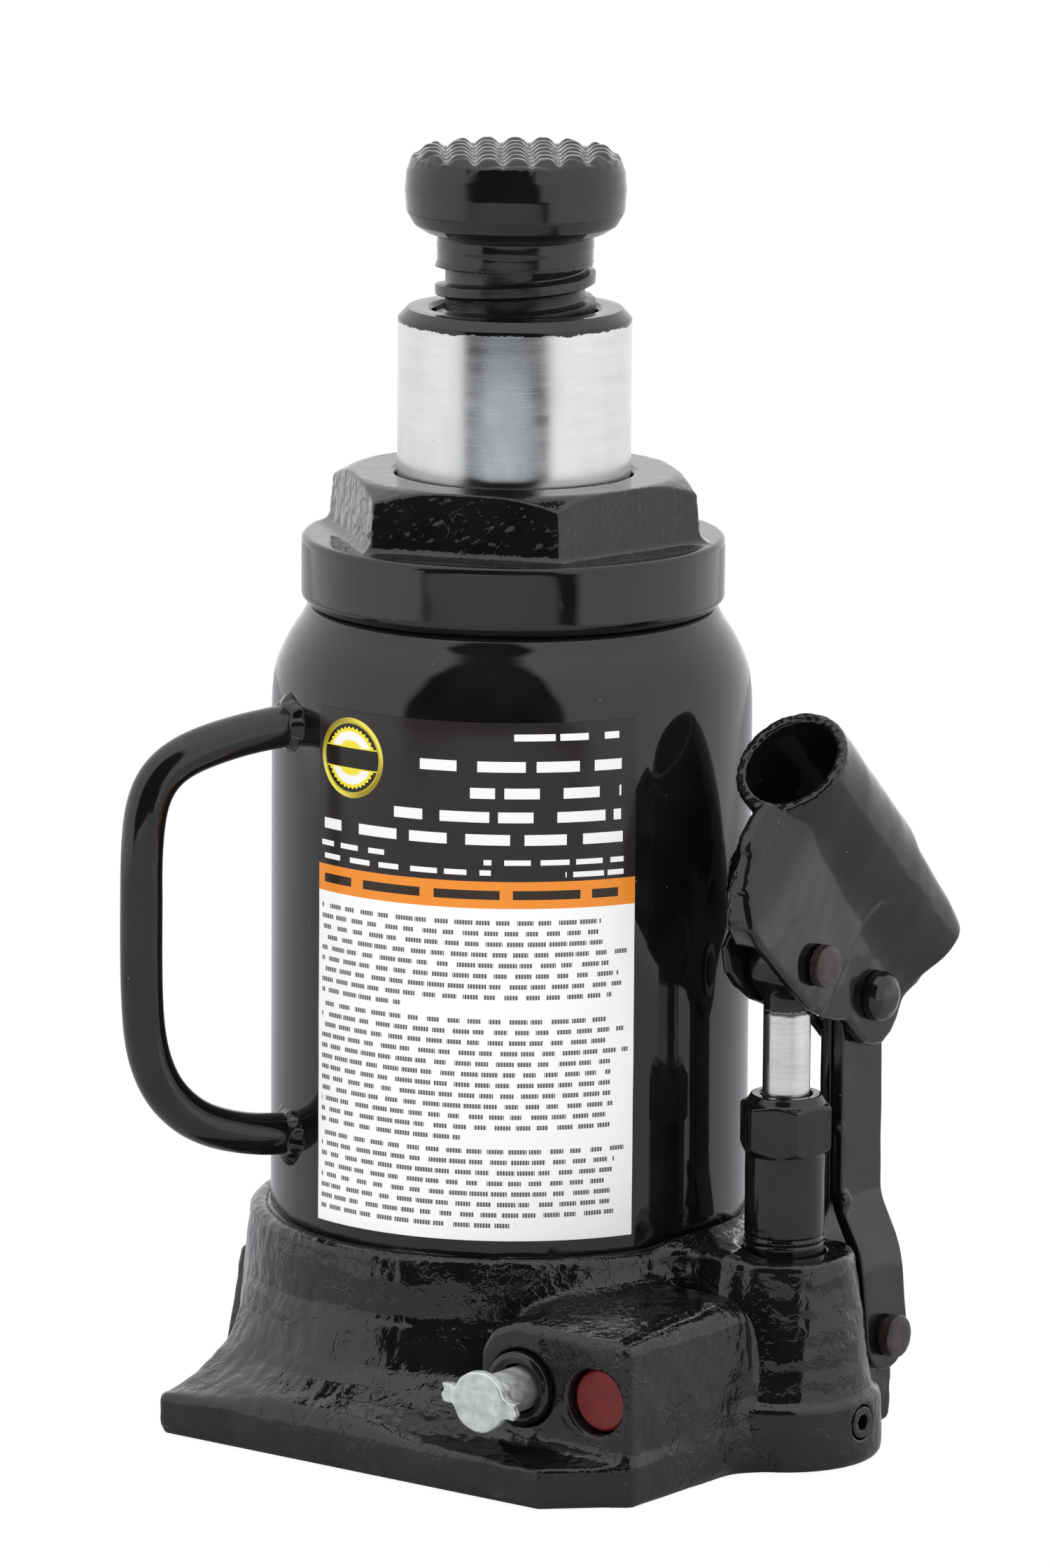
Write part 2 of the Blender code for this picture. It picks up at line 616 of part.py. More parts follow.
def build_screw():
    mesh = threaded(THREAD_BOTTOM, 260.6, SCREW_ROOT_R, SCREW_CREST_R, SCREW_TAIL, SCREW_HEAD)
    screw = make_piece(mesh, "extension_screw", SCREW_ENAMEL, (0, 0, SCREW_BOTTOM))
    # crossed grooves leave rows of square teeth
    cut(screw, vee_grooves(SERRATION_ANGLE), vee_grooves(SERRATION_ANGLE + math.pi / 2))
    dress(screw, SCREW_ENAMEL, 35)
    outline = split_ring(13.5, range(16, 345, 16), 17.6, range(344, 15, -16))
    make_piece(prism(outline, STOP_RING_Z, 178.2),
               "screw_stop_ring", SPRING_STEEL, (0, 0, STOP_RING_Z))


# ---- carry handle and label ----
HANDLE_AZIMUTH = math.radians(-120.0)   # front left
HANDLE_REACH = 88.5             # from the ram axis to the grip
HANDLE_BEND_R = 13.3
HANDLE_ROD_R = 4.7
HANDLE_FOOT_R = 53.95
GRIP_TOP, GRIP_LENGTH = 141.0, 49.0
LABEL_START, LABEL_END = -105.6, -24.0  # azimuths, degrees


def build_carry_handle():
    bend_centre = HANDLE_REACH - HANDLE_BEND_R
    # (distance from the ram axis, z)
    stations = [(HANDLE_FOOT_R, 158.0), (70.0, 155.6),
                *arc((bend_centre, 141.5), HANDLE_BEND_R, 82, 4, 6),
                *[(HANDLE_REACH, GRIP_TOP - GRIP_LENGTH * i / 4) for i in range(1, 4)],
                *arc((bend_centre, 89.5), HANDLE_BEND_R, -4, -72, 6),
                (HANDLE_FOOT_R, 64.9)]
    path = [(*polar(reach, HANDLE_AZIMUTH), z) for reach, z in stations]
    sideways = (-math.sin(HANDLE_AZIMUTH), math.cos(HANDLE_AZIMUTH), 0)
    handle = make_piece(swept(path, HANDLE_ROD_R, 12, sideways), "carry_handle", HANDLE_ENAMEL)
    # trim the ends to the tank
    cut(handle, rod(TANK_R + GAP, 20, 180, 96))
    dress(handle, HANDLE_ENAMEL, 40)


def build_label():
    outer, inner = [arc((0, 0), TANK_R + offset, LABEL_START, LABEL_END, 18)
                    for offset in (0.45, 0.2)]
    make_piece(prism(outer + inner[::-1], 48.6, 161.6), "label", LABEL_PRINT)


# ---- pump ----
PUMP_R = 8.9
PUMP_HEX_R = 10.4               # to the corners
PUMP_HEX_PHASE = math.radians(18.5)
PLUNGER_R = 5.24
EYE_R = 8.3
EYE_HALF_T = 5.2
EYE_SLOT_Y, EYE_SLOT_Z = 5.2, 4.1       # half axes of the oval pin slot

# (radius, z)
PUMP_BODY = [(5.6, 24.0), (1.8, 22.0), (1.8, 20.0), (7.3, 20.0), (7.3, 43.7), (PUMP_R, 43.7),
             (PUMP_R, 47.4), (8.5, 47.8), (PUMP_R, 48.2), (PUMP_R, 48.7), (8.5, 49.1),
             (PUMP_R, 49.5), (PUMP_R, 78.6), (8.6, 80.0), (7.8, 80.9), (6.2, 80.9),
             (5.6, 80.3), (5.6, 75.3), (7.5, 75.3), (7.5, 70.0), (5.6, 70.0)]
PUMP_HEX_CONE = [(0, 60), (9.2, 67.6), (11, 69.0), (11, 77.4), (9.2, 79.1), (0, 79.1)]
PLUNGER = [(0, 44.0), (4.6, 44.0), (PLUNGER_R, 44.7), (PLUNGER_R, 104.0), (0, 104.0)]


def build_pump_cylinder():
    pump = make_piece(turned(PUMP_BODY, 24, at=PUMP_AT), "pump_cylinder", PUMP_ENAMEL)
    corners = hexagon(PUMP_HEX_R, PUMP_HEX_PHASE, (PUMP_X, 0))
    hex_band = make_tool(prism(corners, 67.8, 79.2))
    intersect(hex_band, turned(PUMP_HEX_CONE, 24, at=PUMP_AT))
    cut(hex_band, rod(8.2, 60, 90, 24, at=PUMP_AT))
    join(pump, hex_band)
    dress(pump, PUMP_ENAMEL, 30)
    make_piece(sleeve(5.5, 7.2, 70.3, 75.0, 20, at=PUMP_AT), "pump_packing", SEAL_URETHANE)
    make_piece(sleeve(2.6, 7.2, 16.4, 19.6, 20, at=PUMP_AT), "pump_seat_washer", COPPER_WASHER)


def build_plunger():
    plunger = make_piece(turned(PLUNGER, 20, at=PUMP_AT), "pump_plunger", PLUNGER_STEEL)
    eye = arc(PLUNGER_PIN, EYE_R, -52, 232, 14) + [(-4.6, 100.5), (4.6, 100.5)]
    join(plunger, prism(eye, PUMP_X - EYE_HALF_T, PUMP_X + EYE_HALF_T, "YZ"))
    slot = []
    for k in range(20):
        angle = math.tau * k / 20
        slot.append((PLUNGER_PIN[0] + EYE_SLOT_Y * math.cos(angle),
                     PLUNGER_PIN[1] + EYE_SLOT_Z * math.sin(angle)))
    cut(plunger, prism(slot, PUMP_X - 9, PUMP_X + 9, "YZ"))
    dress(plunger, PLUNGER_STEEL, 35)


# ---- handle socket: a tilted tube between two cheeks ----
TUBE_R = 13.3
TUBE_BORE = 10.7
TUBE_LENGTH = 69.0
TUBE_MOUTH = (PUMP_X, 0.0, 155.0)
TUBE_TILT = math.radians(43.9)
TUBE_AXIS = (0, math.cos(TUBE_TILT), -math.sin(TUBE_TILT))
CHEEK_OUTER = 8.55              # distances from the pump axis along X
CHEEK_PRESSED = 6.35
SLOT_WIDE = 5.85
SLOT_NARROW = 3.55

# (y, z)
CHEEK = [(-8.0, 146.0), (-14.5, 141.0), (-21.0, 134.5), (-24.6, 129.0), (-24.6, 124.0),
         (-21.0, 119.5), (-3.2, 101.4), (1.2, 98.0), (10.5, 96.3), (14.5, 92.6),
         (18.7, 89.6), (25.4, 88.3), (30.9, 91.6), (33.8, 96.8), (36.8, 100.2),
         (41.5, 101.4), (48.2, 103.8), (51.6, 108.0), (52.2, 113.5), (47.0, 119.0),
         (38.0, 122.0), (10.0, 148.0)]
PRESSED_AREA = [(13.9, 110.0), (9.6, 94.0), (9.6, 84), (58, 84), (58, 100), (44, 104),
                (30, 114.0), (22.0, 116.5)]
TAIL_TRIM = [(36.0, 136.5), (60, 136.5), (66, 90), (54.8, 104), (54.6, 112), (52.5, 117.5),
             (47.5, 123.5)]
PLUNGER_SLOT = [(-5.5, 140.5), (-12.0, 136.2), (-18.0, 130.5), (-20.8, 127.0),
                (-21.2, 122.0), (-40, 112), (-20, 88), (14.6, 80.0), (15.6, 108.5),
                (22.0, 121.5), (2.0, 141.5)]
LINK_SLOT = [(13.0, 80), (60, 80), (60, 112), (44, 122), (22.0, 124.0), (14.0, 112.0)]


def front_slant(right_y, left_y, low, high):
    """Cutter whose slanted rear face runs further back on the left (-X)."""
    left, right = PUMP_X - 40, PUMP_X + 14.0
    return prism([(left, left_y), (right, right_y), (right, -60), (left, -60)], low, high)


def across_pump(outline, half_width):
    return prism(outline, PUMP_X - half_width, PUMP_X + half_width, "YZ")


def build_socket():
    socket = make_piece(across_pump(CHEEK, CHEEK_OUTER), "handle_socket", SOCKET_ENAMEL)
    # the cheeks are pressed inwards beside the link
    for low, high in ((-12, -CHEEK_PRESSED), (CHEEK_PRESSED, 12)):
        cut(socket, prism(PRESSED_AREA, PUMP_X + low, PUMP_X + high, "YZ"))
    join(socket, rod(TUBE_R, 0, TUBE_LENGTH, 30, TUBE_AXIS, TUBE_MOUTH))
    cut(socket, front_slant(-29.2, 13.0, 90, 139.5))
    cut(socket, across_pump(TAIL_TRIM, 30))
    cut(socket, rod(TUBE_BORE, -8, TUBE_LENGTH + 12, 26, TUBE_AXIS, TUBE_MOUTH))
    # slot between the cheeks: wide at the plunger, narrower at the link
    wide_slot = make_tool(across_pump(PLUNGER_SLOT, SLOT_WIDE))
    cut(wide_slot, front_slant(-25.6, 16.6, 121.5, 150))
    cut(socket, wide_slot)
    cut(socket, across_pump(LINK_SLOT, SLOT_NARROW))
    cut(socket, pin_hole(3.3, 16, PLUNGER_PIN), pin_hole(4.1, 16, LINK_TOP_PIN))
    dress(socket, SOCKET_ENAMEL, 35)


# ---- pins and their clips ----
# pin profiles are (radius, x from the pump axis)
PINS = [
    # pin name, material, centre, profile, clip name, shank radius, clip x
    ("plunger_pin", PIN_STEEL, PLUNGER_PIN,
     [(0, -11.2), (2.7, -11.2), (3.0, -10.9), (3.0, 8.85), (4.75, 8.85), (4.75, 11.0),
      (4.45, 11.35), (0, 11.35)],
     "plunger_pin_clip", 3.0, -9.5),
    ("link_pin_upper", PIN_ENAMEL, LINK_TOP_PIN,
     [(0, -9.0), (3.5, -9.0), (3.8, -8.7), (3.8, 6.65), (5.6, 6.65), (5.65, 8.0),
      (5.1, 9.3), (3.8, 10.1), (2.0, 10.55), (0, 10.7)],
     "upper_pin_clip", 3.8, -7.4),
    ("link_pin_lower", PIN_STEEL, LINK_BOTTOM_PIN,
     [(0, -14.6), (3.5, -14.6), (3.8, -14.3), (3.8, 11.1), (4.8, 11.1), (4.8, 13.4),
      (4.5, 13.8), (0, 13.8)],
     "lower_pin_clip", 3.8, -12.2),
]


def build_pins():
    for name, mat, centre, profile, clip_name, shank, clip_x in PINS:
        at = (PUMP_X, *centre)
        make_piece(turned(profile, 18, X_AXIS, at), name, mat)
        clip = sleeve(shank + 0.3, shank + 2.3, clip_x - 0.5, clip_x + 0.5, 14, X_AXIS, at)
        make_piece(clip, clip_name, SPRING_STEEL)


# ---- fulcrum link: two plates, close together above, spread below ----
LINK_T = 2.85
LINK_HALF_W = 7.9
LINK_HALF_GAP = 0.15
# (z, sideways offset of each plate); spans every height of the link
LINK_SPREAD = [(10.0, 7.6), (24.0, 7.3), (40.0, 5.6), (43.0, 4.6), (50.0, 0.9), (53.5, 0.0),
               (200.0, 0.0)]
# heights of the edge points between the rounded ends
LINK_STATIONS = [28.0, 34.0, 40.0, 43.0, 46.5, 50.0, 53.5, 70.0, 86.0]


def link_offset(z):
    for (low, low_offset), (high, high_offset) in zip(LINK_SPREAD, LINK_SPREAD[1:]):
        if z <= high:
            return low_offset + (high_offset - low_offset) * (z - low) / (high - low)


def fill_round_end(mesh, verts):
    """Fill a half disc with level strips; the strip at its tip is a triangle."""
    last = len(verts) - 1
    for i in range(len(verts) // 2):
        corners = [verts[i], verts[i + 1], verts[last - 1 - i], verts[last - i]]
        if corners[1] is corners[2]:
            del corners[2]
        mesh.faces.new(corners)


def build_link_plate(name, side):
    """side is 1 for the plate on +X, -1 for the one nearer the ram."""
    lean = (LINK_TOP_PIN[0] - LINK_BOTTOM_PIN[0]) / (LINK_TOP_PIN[1] - LINK_BOTTOM_PIN[1])
    middles = [(LINK_BOTTOM_PIN[0] + (z - LINK_BOTTOM_PIN[1]) * lean, z) for z in LINK_STATIONS]
    bottom = arc(LINK_BOTTOM_PIN, LINK_HALF_W, 180, 360, 8)
    back = [(y + LINK_HALF_W, z) for y, z in middles]
    top = arc(LINK_TOP_PIN, LINK_HALF_W, 0, 180, 8)
    front = [(y - LINK_HALF_W, z) for y, z in reversed(middles)]
    mesh = bmesh.new()
    inner, outer = [], []
    for y, z in bottom + back + top + front:
        x = LINK_HALF_GAP + link_offset(z)
        inner.append(mesh.verts.new((PUMP_X + side * x, y, z)))
        outer.append(mesh.verts.new((PUMP_X + side * (x + LINK_T), y, z)))
    bridge(mesh, inner, outer)
    # fill both faces in strips between matching heights
    top_start = len(bottom) + len(back)
    top_end = top_start + len(top)
    for verts in (inner, outer):
        back_edge = verts[len(bottom) - 1:top_start + 1]
        front_edge = [verts[0], *reversed(verts[top_end - 1:])]
        fill_round_end(mesh, verts[:len(bottom)])
        for i in range(len(back_edge) - 1):
            mesh.faces.new((front_edge[i], back_edge[i], back_edge[i + 1], front_edge[i + 1]))
        fill_round_end(mesh, verts[top_start:top_end])
    bmesh.ops.triangulate(mesh, faces=mesh.faces)
    plate = make_piece(mesh, name, LINK_ENAMEL)
    cut(plate, pin_hole(4.1, 20, LINK_BOTTOM_PIN), pin_hole(4.15, 20, LINK_TOP_PIN))
    dress(plate, LINK_ENAMEL, 35)


# ---- release valve ----
WING_TILT = math.radians(-5)
# (radius, y)
SPINDLE = [(0, -31.8), (1.9, -33.2), (3.6, -33.2), (4.9, -34.4), (4.9, -44.0), (4.0, -44.2),
           (4.0, -46.4), (4.9, -46.6), (4.9, -74.6), (6.75, -74.8), (6.75, -77.1),
           (6.4, -77.5), (0, -77.5)]
GLAND_NUT = [(5.3, -56.0), (8.2, -56.0), (8.2, -62.6), (7.7, -63.2), (6.6, -63.2),
             (5.3, -62.0)]
# (x, z) about the spindle's axis, before the tilt
WING = [(9.8, 1.9), (-9.6, 2.1), (-9.6, -2.1), (9.8, -1.9)]


def build_release_valve():
    spindle = make_piece(turned(SPINDLE, 20, Y_AXIS, RELEASE_AT),
                         "release_valve_spindle", RELEASE_ZINC)
    wing = []
    for x, z in WING:
        turned_x, turned_z = rotated(x, z, WING_TILT)
        wing.append((RELEASE_X + turned_x, RELEASE_Z + turned_z))
    join(spindle, prism(wing, -77.3, -75.0, "XZ"))
    dress(spindle, RELEASE_ZINC, 35)
    make_piece(turned(GLAND_NUT, 20, Y_AXIS, RELEASE_AT), "release_gland_nut", PUMP_ENAMEL)
    make_piece(sleeve(4.2, 5.05, -46.1, -44.6, 20, Y_AXIS, RELEASE_AT),
               "release_o_ring", BLACK_RUBBER)
    ball("release_ball", 1.4, (RELEASE_X, -30.2, RELEASE_Z))


# ---- safety valve ----
COIL_TURNS, COIL_STEPS = 5, 8   # steps are per turn
COIL_R = 2.9
COIL_WIRE_R = 0.55
COIL_FRONT, COIL_LENGTH = -45.2, 11.2
# (radius, y)
SAFETY_CAP = [(0, -53.0), (6.3, -53.0), (6.95, -53.6), (6.95, -58.6), (6.6, -59.0),
              (0, -59.2)]
SPRING_SEAT = [(0, -33.2), (3.6, -33.2), (3.6, -32.0), (1.6, -31.0), (0, -31.0)]


def build_safety_valve():
    make_piece(turned(SAFETY_CAP, 20, Y_AXIS, SAFETY_AT), "safety_valve_cap", SAFETY_RED)
    screw = make_piece(rod(4.0, -52.2, -46.0, 20, Y_AXIS, SAFETY_AT),
                       "safety_adjusting_screw", CYLINDER_STEEL)
    slot = rectangle(SAFETY_X - 4.5, SAFETY_X + 4.5, SAFETY_Z - 0.6, SAFETY_Z + 0.6)
    cut(screw, prism(slot, -53, -50.8, "XZ"))
    dress(screw, CYLINDER_STEEL)
    coil = []
    steps = COIL_TURNS * COIL_STEPS
    for i in range(steps + 1):
        x, z = polar(COIL_R, math.tau * i / COIL_STEPS, (SAFETY_X, SAFETY_Z))
        coil.append((x, COIL_FRONT + COIL_LENGTH * i / steps, z))
    make_piece(swept(coil, COIL_WIRE_R, 4, Y_AXIS), "safety_spring", SPRING_STEEL)
    make_piece(turned(SPRING_SEAT, 16, Y_AXIS, SAFETY_AT), "safety_spring_seat", CYLINDER_STEEL)
    ball("safety_ball", 2.0, (SAFETY_X, -28.2, SAFETY_Z))


# ---- set screw and check balls in the base drillings ----
def build_drilling_parts():
    screw = make_piece(rod(3.6, 91.0, 97.1, 20, X_AXIS, (0, 0, DELIVERY_Z)),
                       "base_set_screw", PUMP_ENAMEL)
    cut(screw, prism(hexagon(1.9, centre=(0, DELIVERY_Z)), 93.6, 99, "YZ"))
    dress(screw, PUMP_ENAMEL)
    ball("delivery_check_ball", 2.6, (66.4, 0, DELIVERY_Z))
    ball("suction_check_ball", 2.4, (61.6, 0, SUCTION_Z))


build_base()
build_tank()
build_cylinder()
build_top_nut()
build_ram()
build_piston_seals()
build_screw()
build_carry_handle()
build_label()
build_pump_cylinder()
build_plunger()
build_socket()
build_pins()
build_link_plate("link_plate_outer", 1)
build_link_plate("link_plate_inner", -1)
build_release_valve()
build_safety_valve()
build_drilling_parts()
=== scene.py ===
"""Hydraulic bottle jack standing on z = 0.

The ram and tank share the z axis through the origin. The pump stands at +x, with its
socket and link pins parallel to x. The valves open towards -y. Pieces are drawn in
millimetres and scaled to metres when their mesh is made.
"""
import math

import bpy
import numpy as np
from mathutils import Matrix, Vector


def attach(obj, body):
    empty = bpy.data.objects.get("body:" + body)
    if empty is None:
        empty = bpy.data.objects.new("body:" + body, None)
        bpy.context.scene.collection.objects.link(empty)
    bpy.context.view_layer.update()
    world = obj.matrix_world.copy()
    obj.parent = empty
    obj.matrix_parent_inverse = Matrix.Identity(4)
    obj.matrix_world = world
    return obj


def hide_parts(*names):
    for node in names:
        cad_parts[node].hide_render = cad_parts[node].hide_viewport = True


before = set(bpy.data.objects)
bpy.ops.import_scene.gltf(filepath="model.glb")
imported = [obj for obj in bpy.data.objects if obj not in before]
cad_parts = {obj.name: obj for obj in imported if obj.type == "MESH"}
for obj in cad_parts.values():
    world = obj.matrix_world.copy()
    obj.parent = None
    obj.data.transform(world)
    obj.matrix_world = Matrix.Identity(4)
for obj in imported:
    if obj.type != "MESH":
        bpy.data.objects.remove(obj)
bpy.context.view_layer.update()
scene = bpy.context.scene

MM = 0.001
PUMP_X = 75.45
# pin centres (y, z)
PLUNGER_PIN = (0.0, 110.6)
UPPER_PIN = (25.3, 99.2)
LOWER_PIN = (26.0, 22.2)
# valve axes (x, z), both along y
RELEASE_AT = (48.8, 22.4)
CAP_AT = (68.5, 22.2)
PASSAGE_Z = 9.4                # delivery passage and set screw, along x
TANK_RADIUS = 53.6


# ---------------------------------------------------------------- mesh building
def piece(name, verts, faces, material, body, replaces=None, sharp=0):
    """Smooth mesh object from millimetre vertices; faces are an (M, 4) array or a list."""
    verts = np.asarray(verts, np.float32) * MM
    mesh = bpy.data.meshes.new(name)
    if isinstance(faces, np.ndarray):
        mesh.vertices.add(len(verts))
        mesh.vertices.foreach_set("co", verts.ravel())
        mesh.loops.add(faces.size)
        mesh.loops.foreach_set("vertex_index", faces.astype(np.int32).ravel())
        mesh.polygons.add(len(faces))
        mesh.polygons.foreach_set("loop_start", np.arange(0, faces.size, 4, dtype=np.int32))
        mesh.update(calc_edges=True)
    else:
        mesh.from_pydata(verts.tolist(), [], faces)
        mesh.update()
    mesh.validate()
    mesh.shade_smooth()
    if sharp:
        mesh.set_sharp_from_angle(angle=math.radians(sharp))
    mesh.materials.append(material)
    obj = bpy.data.objects.new(name, mesh)
    scene.collection.objects.link(obj)
    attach(obj, body)
    if replaces:
        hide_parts(replaces)


def rounded(points, steps):
    """Polyline of (r, z) or (r, z, corner radius) with its inner corners rounded."""
    out = []
    for i, point in enumerate(points):
        corner = np.array(point[:2], float)
        radius = point[2] if len(point) > 2 else 0
        if radius <= 0 or i in (0, len(points) - 1):
            out.append(tuple(corner))
            continue
        before = np.array(points[i - 1][:2], float) - corner
        after = np.array(points[i + 1][:2], float) - corner
        reach_before, reach_after = np.linalg.norm(before), np.linalg.norm(after)
        before, after = before / reach_before, after / reach_after
        angle = math.acos(max(-1, min(1, float(before @ after))))
        trim = radius / math.tan(angle / 2)
        trim = min(trim, 0.49 * reach_before, 0.49 * reach_after)
        radius = trim * math.tan(angle / 2)
        middle = (before + after) / np.linalg.norm(before + after)
        centre = corner + middle * (radius / math.sin(angle / 2))
        start = corner + before * trim - centre
        end = corner + after * trim - centre
        first = math.atan2(start[1], start[0])
        last = math.atan2(end[1], end[0])
        sweep = (last - first + math.pi) % (2 * math.pi) - math.pi
        for k in range(steps + 1):
            turn = first + sweep * k / steps
            out.append((centre[0] + radius * math.cos(turn), centre[1] + radius * math.sin(turn)))
    return out


def axes_of(axis, at):
    """Two cross axes, the axis itself and the origin, as arrays."""
    along = Vector(axis).normalized()
    across = Vector((1, 0, 0)) if abs(along.x) < 0.9 else Vector((0, 1, 0))
    across = (across - along * across.dot(along)).normalized()
    side = along.cross(across)
    return np.array(across), np.array(side), np.array(along), np.array(at, float)


def circle(segments):
    return np.arange(segments) * 2 * math.pi / segments


def lathe(profile, segments, axis=(0, 0, 1), at=(0, 0, 0), closed=False):
    """Turned surface of an open or closed outline of (r, z)."""
    across, side, along, origin = axes_of(axis, at)
    turn = circle(segments)
    spokes = np.cos(turn)[:, None] * across + np.sin(turn)[:, None] * side
    verts, rings, faces = [], [], []
    for radius, height in profile:
        centre = origin + along * height
        if radius < 1e-5:
            rings.append([len(verts)])
            verts.append(centre)
        else:
            rings.append(range(len(verts), len(verts) + segments))
            verts.extend(centre + radius * spokes)
    count = len(profile)
    for i in range(count if closed else count - 1):
        this, following = rings[i], rings[(i + 1) % count]
        for k in range(segments):
            k2 = (k + 1) % segments
            if len(this) == 1:
                faces.append((this[0], following[k2], following[k]))
            elif len(following) == 1:
                faces.append((this[k], this[k2], following[0]))
            else:
                faces.append((this[k], this[k2], following[k2], following[k]))
    return np.array(verts), faces


def turned(name, profile, material, body, replaces, axis, at, segments, amp=0.0, seed=1):
    """Lathed piece, its surface disturbed by amp."""
    verts, faces = lathe(profile, segments, axis, at)
    if amp:
        verts = verts + amp * np.stack([lumps(verts, 3.0, seed + i) for i in range(3)], 1)
    piece(name, verts, faces, material, body, replaces, sharp=35)


def tube_verts(path, radius, first, second, segments):
    """Rings around a path; first and second are its cross axes."""
    turn = circle(segments)[None, :, None]
    radius = np.broadcast_to(radius, (len(path),))[:, None, None]
    rim = np.cos(turn) * first[:, None] + np.sin(turn) * second
    return (path[:, None] + radius * rim).reshape(-1, 3)


def tube_faces(rings, segments, closed=False):
    """Quads between rings; an open tube gets two end caps."""
    faces = []
    for i in range(rings if closed else rings - 1):
        this, following = i * segments, (i + 1) % rings * segments
        for k in range(segments):
            k2 = (k + 1) % segments
            faces.append((this + k, this + k2, following + k2, following + k))
    if not closed:
        faces.append(tuple(range(segments))[::-1])
        faces.append(tuple((rings - 1) * segments + k for k in range(segments)))
    return faces


# ---------------------------------------------------------------- distance functions
def outline(u, v, points):
    """Signed distance to a closed polygon, negative inside."""
    points = np.asarray(points, float)
    nearest = np.full(np.shape(u), 1e18)
    sign = np.ones(np.shape(u))
    for i, here in enumerate(points):
        edge_u, edge_v = points[i - 1] - here
        du, dv = u - here[0], v - here[1]
        along = np.clip((du * edge_u + dv * edge_v) / (edge_u * edge_u + edge_v * edge_v), 0, 1)
        nearest = np.minimum(nearest, (du - edge_u * along) ** 2 + (dv - edge_v * along) ** 2)
        above, below = v >= here[1], v < points[i - 1][1]
        left = edge_u * dv > edge_v * du
        sign = np.where((above & below & left) | (~above & ~below & ~left), -sign, sign)
    return sign * np.sqrt(nearest)


def extrude(flat, w, low, high, edge=0.0):
    """Extrusion of a 2-D distance from low to high, with rounded edges."""
    across = flat + edge
    along = np.abs(w - (low + high) / 2) - (high - low) / 2 + edge
    outside = np.hypot(np.maximum(across, 0), np.maximum(along, 0))
    return np.minimum(np.maximum(across, along), 0) + outside - edge


def join(first, second, soft):
    near = np.maximum(soft - np.abs(first - second), 0) / soft
    return np.minimum(first, second) - near * near * soft * 0.25


def cut(solid, tool, soft):
    return -join(-solid, tool, soft)


def common(first, second, soft):
    return -join(-first, -second, soft)


def hexagon(u, v, turn):
    """Distance from the centre, measured square to the nearest flat."""
    angles = [turn + math.pi / 6 + k * math.pi / 3 for k in range(6)]
    return np.maximum.reduce([u * math.cos(a) + v * math.sin(a) for a in angles])


